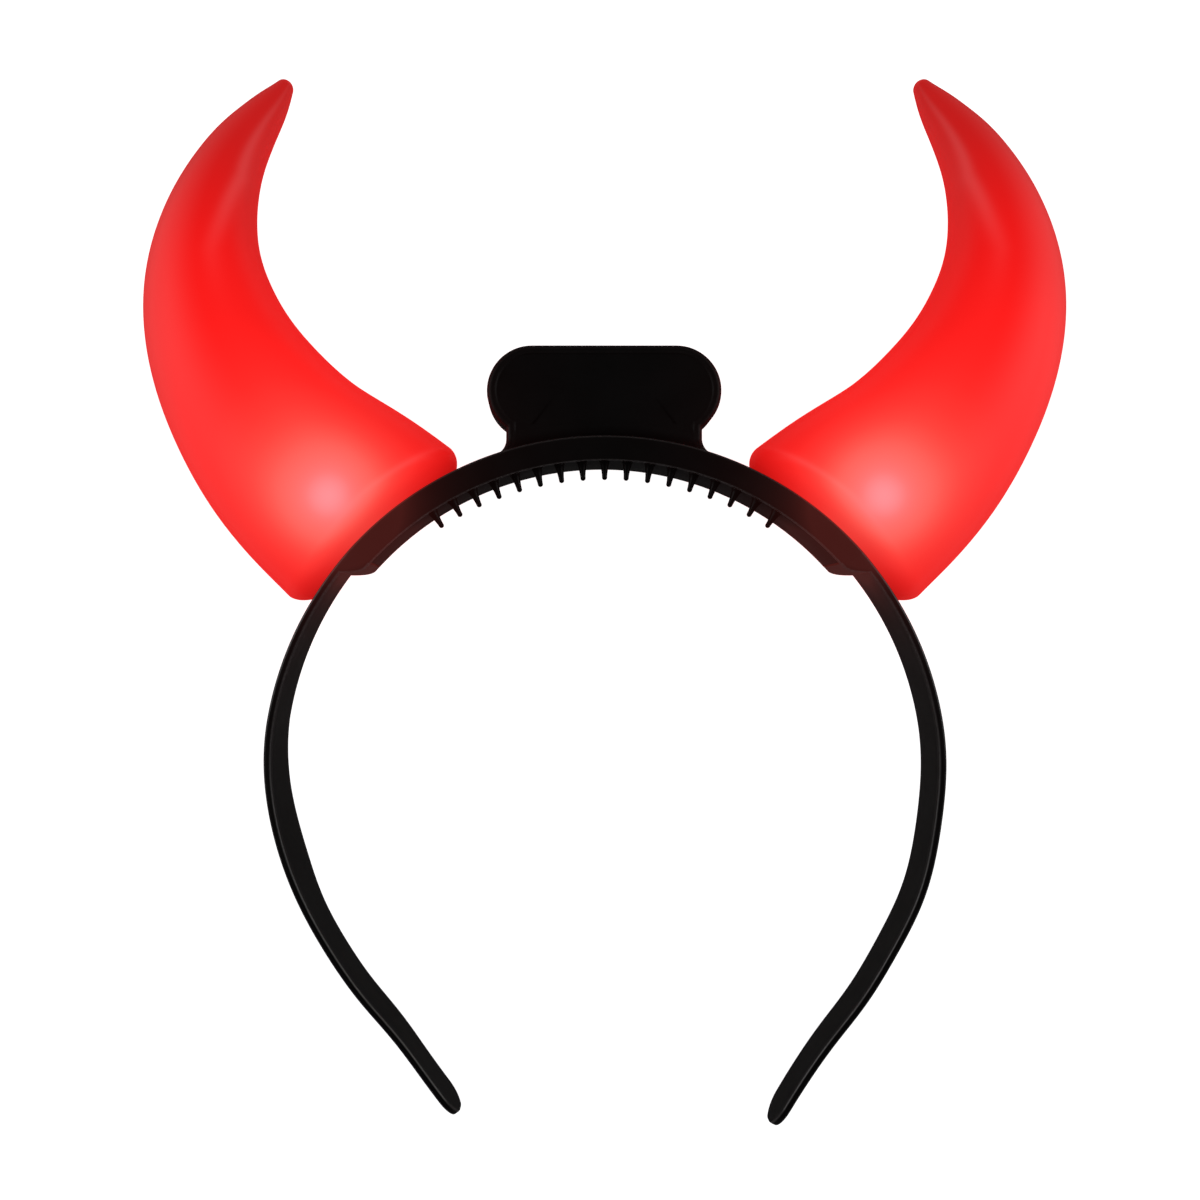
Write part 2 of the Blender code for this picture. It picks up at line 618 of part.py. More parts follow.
def main():
    """Build the headband."""
    for old in list(bpy.data.objects):
        bpy.data.objects.remove(old)
    parts = bpy.data.collections.new("devil_horns_headband")
    cutters = bpy.data.collections.new("cutters")
    for collection in (parts, cutters):
        bpy.context.scene.collection.children.link(collection)

    black = plastic("black_gloss_plastic", (0.012, 0.011, 0.012), 0.22)
    cover_black = plastic("black_comb_plastic", (0.014, 0.012, 0.013), 0.30)
    red = plastic("red_translucent_plastic", (0.80, 0.012, 0.012), 0.18, 0.35)
    lamp = plastic("lamp_resin", (0.95, 0.45, 0.45), 0.08, 0.6)

    band = build_band(parts, cutters, black)
    build_comb_cover(parts, cutters, cover_black)
    seat = rod("seat_curve", BAND_RADIUS + GAP, 2 * HORN_DEPTH, CUTTER_SIDES)
    seat.transform(Matrix.Translation((0.0, 0.0, -HORN_DEPTH)))
    seat_cutter = add_object("seat_curve", seat, cutters)
    horns = []
    for side, word in SIDES:
        horns.append(build_horn(side, word, parts, cutters, seat_cutter, red))
        build_led(side, word, parts, lamp)
    lay_on_back(parts, cutters, band, horns)
    bpy.context.view_layer.update()


main()
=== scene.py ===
"""Dress the devil horns headband: lit red horns on a glossy black hair band, on a pale table.

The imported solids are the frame. Every visible piece here is a finer surface of the same shape,
worked out from the same sizes, in metres. Shapes are written as the headband is worn, with X
across the head, Y up, Z to the front and the origin at the centre of the crown's circle, and
are then carried to the place where the headband lies on its back.
"""

import json
import logging
import math
from dataclasses import dataclass
from enum import Enum
from typing import Any, Sequence

import bmesh
import bpy
import numpy as np
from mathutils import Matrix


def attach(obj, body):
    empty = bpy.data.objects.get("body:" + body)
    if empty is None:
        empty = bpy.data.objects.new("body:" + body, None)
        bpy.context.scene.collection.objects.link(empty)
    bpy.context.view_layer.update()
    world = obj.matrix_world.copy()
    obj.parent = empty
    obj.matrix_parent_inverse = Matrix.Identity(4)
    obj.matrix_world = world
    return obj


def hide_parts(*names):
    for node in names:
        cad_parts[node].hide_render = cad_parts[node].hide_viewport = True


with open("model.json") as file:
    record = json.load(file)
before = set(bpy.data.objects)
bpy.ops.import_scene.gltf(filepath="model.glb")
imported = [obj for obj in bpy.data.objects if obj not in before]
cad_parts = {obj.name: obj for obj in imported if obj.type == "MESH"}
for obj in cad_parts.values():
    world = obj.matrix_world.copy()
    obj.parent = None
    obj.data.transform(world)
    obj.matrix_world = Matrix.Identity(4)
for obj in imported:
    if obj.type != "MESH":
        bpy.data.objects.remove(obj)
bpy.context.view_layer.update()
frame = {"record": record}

LOG = logging.getLogger("devil_horns_headband")
MM = 0.001
BODY = "root"
MERGE_DISTANCE = 0.000001
SHARP_ANGLE = 38.0
FINISH_ATTRIBUTE = "finish_value"
# The horns' painted highlight, standing for reflections of the lights
HIGHLIGHT_ATTRIBUTE = "painted_wall_highlight"


class Side(Enum):
    """The wearer's side on which a horn and its lamp stand, with its sign along X."""

    RIGHT = 1
    LEFT = -1

    @property
    def word(self) -> str:
        """The side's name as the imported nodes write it."""
        return self.name.lower()


class Slot(Enum):
    """The record's material slots."""

    BAND = "band_plastic"
    COMB = "comb_plastic"
    HORN = "horn_plastic"
    LAMP = "lamp_resin"


def linear(hex_colour: str) -> tuple[float, float, float, float]:
    """Turn an sRGB hex colour into a linear one for a shader.

    Args:
        hex_colour: Six hex digits after a hash sign.

    Returns:
        Linear red, green, blue and an alpha of one.
    """
    parts = [int(hex_colour[i:i + 2], 16) / 255.0 for i in (1, 3, 5)]
    turned = [c / 12.92 if c <= 0.04045 else ((c + 0.055) / 1.055) ** 2.4 for c in parts]
    return (turned[0], turned[1], turned[2], 1.0)


def span_share(value: Any, start: float, end: float) -> np.ndarray:
    """How far a value has come from a start to an end, held between 0 and 1."""
    return np.clip((value - start) / (end - start), 0.0, 1.0)


def smooth_step(value: Any, start: float = 0.0, end: float = 1.0) -> np.ndarray:
    """Ease from 0 at the start to 1 at the end: 3 t squared minus 2 t cubed."""
    share = span_share(value, start, end)
    return share * share * (3.0 - 2.0 * share)


def round_over(share: np.ndarray) -> np.ndarray:
    """The height still left along a quarter circle: 1 at its start and 0 where it runs level."""
    return 1.0 - np.sqrt(1.0 - (1.0 - share) ** 2)


def running_sum(value: np.ndarray, step: float) -> np.ndarray:
    """Sum even samples from the first one on, taking the mean over each step."""
    return np.concatenate([[0.0], np.cumsum((value[1:] + value[:-1]) / 2)]) * step


def on_circle(radius: Any, degrees: Any) -> np.ndarray:
    """Points at an angle from straight up, positive towards +X.

    Args:
        radius: One radius, or one for each angle.
        degrees: Angles in degrees.

    Returns:
        X = radius times sine and Y = radius times cosine, in the last axis.
    """
    angle = np.radians(degrees)
    return np.stack([radius * np.sin(angle), radius * np.cos(angle)], axis=-1)


def smooth_column(rows: Sequence[Sequence[float]], column: int, shares: np.ndarray) -> np.ndarray:
    """Read a table's column between its rows, as cubics that share the slope at each row.

    Args:
        rows: The table, whose first column is the share along the piece.
        column: Which column to read.
        shares: Where to read it.

    Returns:
        The column's value at each share.
    """
    table = np.array(rows, dtype=float)
    x = table[:, 0]
    y = table[:, column]
    slope = np.gradient(y, x)
    index = np.clip(np.searchsorted(x, shares, side="right") - 1, 0, len(x) - 2)
    step = x[index + 1] - x[index]
    t = (shares - x[index]) / step
    start = (2 * t**3 - 3 * t**2 + 1) * y[index] + (t**3 - 2 * t**2 + t) * step * slope[index]
    end = (3 * t**2 - 2 * t**3) * y[index + 1] + (t**3 - t**2) * step * slope[index + 1]
    return start + end


@dataclass(frozen=True)
class WornFrame:
    """Carries a shape from the axes of the worn headband to the place where it lies.

    Attributes:
        tilt: How far the headband leans about X when it lies on its back, in radians.
        offset: Where the crown's centre lies.
    """

    tilt: float
    offset: tuple[float, float, float]

    @classmethod
    def from_mount(cls, record: dict, name: str, worn_place: Sequence[float]) -> "WornFrame":
        """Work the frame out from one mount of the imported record.

        Args:
            record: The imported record.
            name: The mount's name; it faces the front.
            worn_place: The mount's place on the worn headband.

        Returns:
            The frame that puts the mount where the record says.
        """
        mount = next(row for row in record["mounts"] if row["name"] == name)
        tilt = math.atan2(-mount["axis"][1], mount["axis"][2])
        unplaced = cls(tilt, (0.0, 0.0, 0.0)).place(np.array(worn_place, dtype=float))
        offset = np.array(mount["pos_m"]) - unplaced
        return cls(tilt, (float(offset[0]), float(offset[1]), float(offset[2])))

    def place(self, points: np.ndarray) -> np.ndarray:
        """Turn points about X by the tilt and move them by the offset."""
        cosine = math.cos(self.tilt)
        sine = math.sin(self.tilt)
        turn = np.array([[1.0, 0.0, 0.0], [0.0, cosine, -sine], [0.0, sine, cosine]])
        return points @ turn.T + np.array(self.offset)


@dataclass
class Skin:
    """A surface as rings of points, each ring a closed loop.

    Attributes:
        rings: Ring by point by XYZ.
        edge: Ring by point, a value for the finish: how near a moulded edge lies on the black
            pieces, and on a horn how much light the wall lets through, both from 0 to 1.
        painted_highlight: Ring by point, how much painted highlight lies on a horn's wall; left out
            elsewhere.
        flat_ends: Whether the ends close as flat faces and not to a pole.
        looped: Whether the last ring joins the first.
    """

    rings: np.ndarray
    edge: np.ndarray
    flat_ends: bool = False
    looped: bool = False
    painted_highlight: np.ndarray | None = None

    def faces(self, base: int) -> tuple[np.ndarray, list[list[int]], np.ndarray]:
        """Join neighbouring rings by four-sided faces and close the ends.

        Args:
            base: The index of the skin's first point in its mesh.

        Returns:
            The points, the faces facing outwards, and each point's two values for the finish.
        """
        count, size = self.rings.shape[:2]
        points = self.rings.reshape(-1, 3)
        painted_highlight = np.zeros_like(self.edge) if self.painted_highlight is None else self.painted_highlight
        values = np.stack([self.edge, painted_highlight], axis=-1).reshape(-1, 2)
        row = np.arange(count if self.looped else count - 1)[:, None]
        column = np.arange(size)[None, :]
        after = (column + 1) % size
        above = (row + 1) % count
        quads = np.stack([
            row * size + column, row * size + after, above * size + after, above * size + column,
        ], axis=-1).reshape(-1, 4)
        first = np.arange(size)
        last = first + (count - 1) * size
        extra: list[list[int]] = []
        if not self.looped and self.flat_ends:
            extra = [first[::-1].tolist(), last.tolist()]
        if not self.looped and not self.flat_ends:
            points = np.concatenate([points, points[first].mean(0)[None], points[last].mean(0)[None]])
            values = np.concatenate([values, values[first].mean(0)[None], values[last].mean(0)[None]])
            low = count * size
            turned = np.roll(first, -1)
            lower = np.stack([turned, first, np.full(size, low)], axis=-1)
            upper = np.stack([last, np.roll(last, -1), np.full(size, low + 1)], axis=-1)
            extra = np.concatenate([lower, upper]).tolist()
        # The volume's sign tells which way the faces look
        corner = points[quads]
        volume = np.einsum("ij,ij->i", corner[:, 0], np.cross(corner[:, 1], corner[:, 2])).sum()
        volume += np.einsum("ij,ij->i", corner[:, 0], np.cross(corner[:, 2], corner[:, 3])).sum()
        loops = quads.tolist() + extra
        if volume < 0.0:
            loops = [loop[::-1] for loop in loops]
        return points, [[base + i for i in loop] for loop in loops], values


@dataclass(frozen=True)
class Workshop:
    """Makes finished pieces in the frame.

    Attributes:
        worn: The frame that carries shapes to their place.
    """

    worn: WornFrame

    def make(self, name: str, skins: Sequence[Skin], material: bpy.types.Material,
             node: str) -> bpy.types.Object:
        """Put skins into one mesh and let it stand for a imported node.

        Args:
            name: The piece's name.
            skins: The closed surfaces that it is made of.
            material: Its finish.
            node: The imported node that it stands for.

        Returns:
            The piece, with its object at the origin.
        """
        clouds: list[np.ndarray] = []
        loops: list[list[int]] = []
        marks: list[np.ndarray] = []
        base = 0
        for skin in skins:
            points, faces, values = skin.faces(base)
            clouds.append(points)
            loops.extend(faces)
            marks.append(values)
            base += len(points)
        mesh = bpy.data.meshes.new(name)
        mesh.from_pydata(self.worn.place(np.concatenate(clouds)).tolist(), [], loops)
        values = np.concatenate(marks).astype(np.float32)
        for column, attribute_name in enumerate((FINISH_ATTRIBUTE, HIGHLIGHT_ATTRIBUTE)):
            attribute = mesh.attributes.new(attribute_name, "FLOAT", "POINT")
            attribute.data.foreach_set("value", np.ascontiguousarray(values[:, column]))
        work = bmesh.new()
        work.from_mesh(mesh)
        bmesh.ops.remove_doubles(work, verts=work.verts, dist=MERGE_DISTANCE)
        bmesh.ops.dissolve_degenerate(work, edges=work.edges, dist=MERGE_DISTANCE)
        work.to_mesh(mesh)
        work.free()
        mesh.shade_smooth()
        mesh.set_sharp_from_angle(angle=math.radians(SHARP_ANGLE))
        mesh.materials.append(material)
        piece = bpy.data.objects.new(name, mesh)
        bpy.context.scene.collection.objects.link(piece)
        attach(piece, BODY)
        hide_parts(node)
        LOG.info("%s: %d faces, stands for %s", name, len(mesh.polygons), node)
        return piece


def feed(tree: bpy.types.NodeTree, node: bpy.types.Node, inputs: dict[Any, Any]) -> None:
    """Set a node's inputs, by name or place, each to a value or to the output that feeds it."""
    for key, value in inputs.items():
        if isinstance(value, bpy.types.NodeSocket):
            tree.links.new(value, node.inputs[key])
        else:
            node.inputs[key].default_value = value


def add_node(tree: bpy.types.NodeTree, kind: str, inputs: dict[Any, Any] | None = None,
             **settings: Any) -> bpy.types.Node:
    """Add a node, set it up and link it.

    Args:
        tree: The material's node tree.
        kind: The node's type name.
        inputs: For each input, by name or place, a value or the output that feeds it.
        settings: The node's own settings.

    Returns:
        The new node.
    """
    node = tree.nodes.new(kind)
    for name, value in settings.items():
        setattr(node, name, value)
    feed(tree, node, inputs or {})
    return node


def start_material(name: str) -> tuple[bpy.types.Material, bpy.types.NodeTree, bpy.types.Node,
                                       bpy.types.NodeSocket]:
    """Begin a material that has its shader and the object's own coordinates.

    Args:
        name: The material's name.

    Returns:
        The material, its node tree, its Principled shader and the coordinates.
    """
    material = bpy.data.materials.new(name)
    material.use_nodes = True
    tree = material.node_tree
    place = add_node(tree, "ShaderNodeTexCoord").outputs["Object"]
    return material, tree, tree.nodes["Principled BSDF"], place


def clouded(tree: bpy.types.NodeTree, place: bpy.types.NodeSocket, texture: dict[str, float],
            colours: tuple[str, str], spread: tuple[float, float]) -> tuple[bpy.types.NodeSocket, ...]:
    """A colour and a value that drift together over a surface.

    Args:
        tree: The material's node tree.
        place: The object's own coordinates.
        texture: The noise's scale, detail and roughness.
        colours: Colours where the noise is low and high.
        spread: The value where the noise is low and high.

    Returns:
        The colour and the value.
    """
    cloud = add_node(tree, "ShaderNodeTexNoise", {"Vector": place, **texture})
    colour = add_node(tree, "ShaderNodeMix", {
        "Factor": cloud.outputs["Fac"], "A": linear(colours[0]), "B": linear(colours[1]),
    }, data_type="RGBA")
    value = add_node(tree, "ShaderNodeMapRange", {
        "Value": cloud.outputs["Fac"], "From Min": 0.3, "From Max": 0.7,
        "To Min": spread[0], "To Max": spread[1],
    })
    return colour.outputs["Result"], value.outputs["Result"]


@dataclass(frozen=True)
class Glow:
    """Where a lamp's light starts and which way it points."""

    place: tuple[float, float, float]
    axis: tuple[float, float, float]


def light_path(tree: bpy.types.NodeTree, glows: Sequence[Glow], beam: float) -> bpy.types.NodeSocket:
    """How far light has come at a point, in metres, by the object's own coordinates.

    It is the distance from the lamp less a share of how far the point lies along the lamp's axis,
    so what is ahead of the lamp counts as nearer. The nearer of the two lamps counts.

    Args:
        tree: The material's node tree.
        glows: Both lamps.
        beam: The share; 0 gives the plain distance.

    Returns:
        The lesser of the two lengths.
    """
    place = add_node(tree, "ShaderNodeTexCoord").outputs["Object"]
    lengths = []
    for glow in glows:
        away = add_node(tree, "ShaderNodeVectorMath", {0: place, 1: glow.place}, operation="SUBTRACT")
        gap = add_node(tree, "ShaderNodeVectorMath", {0: away.outputs["Vector"]}, operation="LENGTH")
        ahead = add_node(tree, "ShaderNodeVectorMath", {
            0: away.outputs["Vector"], 1: tuple(-beam * part for part in glow.axis),
        }, operation="DOT_PRODUCT")
        lengths.append(add_node(tree, "ShaderNodeMath", {
            0: gap.outputs["Value"], 1: ahead.outputs["Value"],
        }, operation="ADD"))
    nearer = add_node(tree, "ShaderNodeMath", {
        0: lengths[0].outputs["Value"], 1: lengths[1].outputs["Value"],
    }, operation="MINIMUM")
    return nearer.outputs["Value"]


@dataclass(frozen=True)
class BlackAbs:
    """Glossy black ABS, injection moulded from a polished tool.

    It gives the eye a nearly black face with soft, slightly broken reflections, paler along the edges,
    where worn plastic and a painted highlight lie together, and a painted dull red glow near a lit horn.

    Attributes:
        name: The material's name.
        glows: Both lamps.
        face: Colour of the plastic.
        rubbed_and_highlight: Colour of an edge, partly worn plastic and partly a painted highlight.
        roughness: Lowest and highest roughness.
        shine: Red light that the horns leave on the plastic next to them.
        shine_reach: Distance from the lamp at which that light is at its full strength.
        shine_fall: Power by which it falls with distance.
        shine_strength: Its strength at that distance.
        grain_size: Size of the tool's fine texture.
        smear_size: Size of the soft marks that handling leaves in the gloss.
        edge_wear_and_highlight_share: Least and most that an edge shows of that colour.
        specular: Level of reflection on the faces and on the edges; low on the faces, as on
            the real band, which mirrors next to nothing.
    """

    name: str
    glows: tuple[Glow, ...]
    face: str = "#0A0808"
    rubbed_and_highlight: str = "#3A3434"
    roughness: tuple[float, float] = (0.28, 0.40)
    shine: str = "#FF6C61"
    shine_reach: float = 14.4 * MM
    shine_fall: float = 4.0
    shine_strength: float = 0.066
    grain_size: float = 0.35 * MM
    smear_size: float = 9.0 * MM
    edge_wear_and_highlight_share: tuple[float, float] = (0.15, 0.5)
    specular: tuple[float, float] = (0.27, 0.27)

    def dress(self) -> bpy.types.Material:
        """Make the material."""
        material, tree, shader, place = start_material(self.name)
        fine = add_node(tree, "ShaderNodeTexNoise", {
            "Vector": place, "Scale": 1.0 / self.grain_size, "Detail": 2.0, "Roughness": 0.5,
        })
        smear = add_node(tree, "ShaderNodeTexNoise", {
            "Vector": place, "Scale": 1.0 / self.smear_size, "Detail": 4.0, "Roughness": 0.6,
        })
        rough = add_node(tree, "ShaderNodeMapRange", {
            "Value": smear.outputs["Fac"], "From Min": 0.3, "From Max": 0.7,
            "To Min": self.roughness[0], "To Max": self.roughness[1],
        })
        edge = add_node(tree, "ShaderNodeAttribute", attribute_name=FINISH_ATTRIBUTE)
        rub_and_highlight = add_node(tree, "ShaderNodeMapRange", {
            "Value": fine.outputs["Fac"], "From Min": 0.35, "From Max": 0.65,
            "To Min": self.edge_wear_and_highlight_share[0], "To Max": self.edge_wear_and_highlight_share[1],
        })
        # How far an edge turns to its lighter colour: partly worn plastic, partly a painted highlight
        worn = add_node(tree, "ShaderNodeMath", {
            0: edge.outputs["Fac"], 1: rub_and_highlight.outputs["Result"],
        }, operation="MULTIPLY")
        colour = add_node(tree, "ShaderNodeMix", {
            "Factor": worn.outputs[0], "A": linear(self.face), "B": linear(self.rubbed_and_highlight),
        }, data_type="RGBA")
        bump = add_node(tree, "ShaderNodeBump", {
            "Height": fine.outputs["Fac"], "Strength": 0.10, "Distance": 0.02 * MM,
        })
        gloss = add_node(tree, "ShaderNodeMapRange", {
            "Value": edge.outputs["Fac"], "To Min": self.specular[0], "To Max": self.specular[1],
        })

        nearness = add_node(tree, "ShaderNodeMath", {
            0: self.shine_reach, 1: light_path(tree, self.glows, 0.0),
        }, operation="DIVIDE", use_clamp=True)
        fallen = add_node(tree, "ShaderNodeMath", {
            0: nearness.outputs[0], 1: self.shine_fall,
        }, operation="POWER")
        strength = add_node(tree, "ShaderNodeMath", {
            0: fallen.outputs[0], 1: self.shine_strength,
        }, operation="MULTIPLY")
        feed(tree, shader, {
            "Base Color": colour.outputs["Result"], "Roughness": rough.outputs["Result"],
            "Normal": bump.outputs["Normal"], "Specular IOR Level": gloss.outputs["Result"], "IOR": 1.53,
            "Emission Color": linear(self.shine), "Emission Strength": strength.outputs[0],
        })
        return material


# How far light has come in millimetres, and the colour and strength of what comes through the
# horn's wall there
HORN_GLOW = (
    (12.0, "#FFAEB6", 1.00),
    (12.6, "#FF949A", 1.00),
    (13.4, "#FF726E", 1.00),
    (14.8, "#FF6A62", 1.00),
    (16.6, "#FF564D", 1.00),
    (18.8, "#FF423B", 1.00),
    (21.5, "#FF3631", 1.00),
    (25.5, "#FF2926", 0.97),
    (31.0, "#FF211F", 0.94),
    (36.0, "#FF1E1C", 0.89),
    (44.0, "#FF1B1A", 0.80),
    (52.0, "#FF1E1D", 0.67),
    (62.0, "#FF2A29", 0.48),
    (79.0, "#FF3A39", 0.31),
)


@dataclass(frozen=True)
class LitRedPlastic:
    """Translucent red polyethylene, blow moulded and lit from inside by one lamp.

    Light bleeds through the wall, so it glows pinkish white in front of the lamp and a deeper red
    away from it; the surface is waxy, with a faint orange peel.

    Attributes:
        name: The material's name.
        glows: Both lamps.
        body: Colour of the plastic.
        body_thick: Colour where the wall is thick.
        roughness: Lowest and highest roughness.
        specular: Level of reflection, low as of a waxy plastic.
        peel_size: Size of the orange peel.
        drift_size: Size of the wall's slow changes of thickness.
        drift: Lowest and highest share of the light that they let through.
        beam: How much nearer what lies ahead of the lamp counts than what lies beside it.
        slant_path: How much longer the light's way is where the wall lets nothing straight through.
        painted_highlight_tint: What the painted highlight, standing for reflections of the lights, adds to
            the glow at its strongest.
    """

    name: str
    glows: tuple[Glow, ...]
    body: str = "#CE1414"
    body_thick: str = "#C21111"
    roughness: tuple[float, float] = (0.32, 0.40)
    specular: float = 0.06
    peel_size: float = 2.2 * MM
    drift_size: float = 30.0 * MM
    drift: tuple[float, float] = (0.97, 1.03)
    beam: float = 0.20
    slant_path: float = 36.0 * MM
    painted_highlight_tint: str = "#393737"

    def dress(self) -> bpy.types.Material:
        """Make the material."""
        material, tree, shader, place = start_material(self.name)
        drift = add_node(tree, "ShaderNodeTexNoise", {
            "Vector": place, "Scale": 1.0 / self.drift_size, "Detail": 1.0, "Roughness": 0.4,
        })
        thickness = add_node(tree, "ShaderNodeMapRange", {
            "Value": drift.outputs["Fac"], "From Min": 0.3, "From Max": 0.7,
        })
        colour = add_node(tree, "ShaderNodeMix", {
            "Factor": thickness.outputs["Result"], "A": linear(self.body), "B": linear(self.body_thick),
        }, data_type="RGBA")
        rough = add_node(tree, "ShaderNodeMapRange", {
            "Value": thickness.outputs["Result"], "To Min": self.roughness[0], "To Max": self.roughness[1],
        })

        near = HORN_GLOW[0][0] * MM
        far = HORN_GLOW[-1][0] * MM
        wall = add_node(tree, "ShaderNodeAttribute", attribute_name=FINISH_ATTRIBUTE)
        slant = add_node(tree, "ShaderNodeMath", {
            0: wall.outputs["Fac"], 1: -self.slant_path, 2: self.slant_path,
        }, operation="MULTIPLY_ADD")
        path = add_node(tree, "ShaderNodeMath", {
            0: light_path(tree, self.glows, self.beam), 1: slant.outputs[0],
        }, operation="ADD")
        share = add_node(tree, "ShaderNodeMapRange", {
            "Value": path.outputs[0], "From Min": near, "From Max": far,
        })
        ramp = add_node(tree, "ShaderNodeValToRGB", {"Fac": share.outputs["Result"]})
        ramp.color_ramp.interpolation = "B_SPLINE"
        stops = ramp.color_ramp.elements
        for _ in HORN_GLOW[2:]:
            stops.new(1.0)
        for stop, (distance, glow, strength) in zip(stops, HORN_GLOW):
            light = linear(glow)
            stop.position = (distance * MM - near) / (far - near)
            stop.color = (light[0] * strength, light[1] * strength, light[2] * strength, 1.0)
        # A painted highlight, standing for reflections of the lights, is added to the glow's colour
        highlight_mask = add_node(tree, "ShaderNodeAttribute", attribute_name=HIGHLIGHT_ATTRIBUTE)
        painted_highlight_tint = add_node(tree, "ShaderNodeMix", {
            "Factor": highlight_mask.outputs["Fac"], "A": ramp.outputs["Color"], "B": linear(self.painted_highlight_tint),
        }, data_type="RGBA", blend_type="ADD")
        through = add_node(tree, "ShaderNodeMapRange", {
            "Value": thickness.outputs["Result"], "To Min": self.drift[1], "To Max": self.drift[0],
        })
        light = add_node(tree, "ShaderNodeMath", {
            0: through.outputs["Result"], 1: wall.outputs["Fac"],
        }, operation="MULTIPLY")

        peel = add_node(tree, "ShaderNodeTexNoise", {
            "Vector": place, "Scale": 1.0 / self.peel_size, "Detail": 1.0, "Roughness": 0.4,
        })
        bump = add_node(tree, "ShaderNodeBump", {
            "Height": peel.outputs["Fac"], "Strength": 0.10, "Distance": 0.03 * MM,
        })
        feed(tree, shader, {
            "Base Color": colour.outputs["Result"], "Roughness": rough.outputs["Result"],
            "Normal": bump.outputs["Normal"], "Specular IOR Level": self.specular, "IOR": 1.51,
            "Emission Color": painted_highlight_tint.outputs["Result"], "Emission Strength": light.outputs[0],
        })
        return material


@dataclass(frozen=True)
class LampResin:
    """Epoxy resin of a 5 mm lamp, cast: clear, glossy and bright from the chip inside.

    Attributes:
        name: The material's name.
        resin: Colour of the resin.
        chip: Colour where more of the chip's light comes through.
        cloud_size: Size of the light's patches.
        glow: Lowest and highest strength of the light.
    """

    name: str = "cast_epoxy_lamp_resin"
    resin: str = "#FFB4B0"
    chip: str = "#FFD2CC"
    cloud_size: float = 1.2 * MM
    glow: tuple[float, float] = (1.6, 2.2)

    def dress(self) -> bpy.types.Material:
        """Make the material."""
        material, tree, shader, place = start_material(self.name)
        texture = {"Scale": 1.0 / self.cloud_size, "Detail": 2.0, "Roughness": 0.5}
        colour, bright = clouded(tree, place, texture, (self.resin, self.chip), self.glow)
        feed(tree, shader, {
            "Base Color": colour, "Emission Color": colour, "Emission Strength": bright,
            "Roughness": 0.08, "IOR": 1.55,
        })
        return material


@dataclass(frozen=True)
class OpalTable:
    """Opal white acrylic over an evenly lit panel, as for cut-out photographs.

    It gives the eye a plain white ground without shadows, with the sheet's faint cloudiness.

    Attributes:
        name: The material's name.
        light: Lightest colour of the sheet.
        shade: Darkest colour of the sheet.
        cloud_size: Size of the sheet's clouds.
        glow: Lowest and highest strength of the panel's light.
    """

    name: str = "opal_acrylic_table"
    light: str = "#F7F7F7"
    shade: str = "#F1F1F1"
    cloud_size: float = 40.0 * MM
    glow: tuple[float, float] = (1.00, 1.06)

    def dress(self) -> bpy.types.Material:
        """Make the material."""
        material, tree, shader, place = start_material(self.name)
        texture = {"Scale": 1.0 / self.cloud_size, "Detail": 3.0, "Roughness": 0.6}
        colour, bright = clouded(tree, place, texture, (self.light, self.shade), self.glow)
        feed(tree, shader, {
            "Base Color": colour, "Emission Color": (1.0, 1.0, 1.0, 1.0), "Emission Strength": bright,
            "Roughness": 0.9, "Specular IOR Level": 0.1,
        })
        return material


# Share of the arm's length, how many degrees each arm has turned inwards since the circle's end,
# and how far its back leans inwards: the soft plastic has taken a set
ARM_BEND_COLUMNS = ("share", "turned_right", "turned_left", "lean_right", "lean_left")
ARM_BEND = (
    (0.00, 0.0, 0.0, 0.0, 2.5),
    (0.14, 13.0, 14.5, 0.0, 5.0),
    (0.32, 22.5, 28.5, 0.0, 7.5),
    (0.46, 36.0, 38.0, 0.0, 4.5),
    (0.60, 41.0, 44.5, 0.0, 4.0),
    (0.72, 48.0, 51.0, 0.0, 4.0),
    (0.84, 44.0, 46.0, 0.0, 2.5),
    (1.00, 39.0, 48.0, 0.0, 3.0),
)


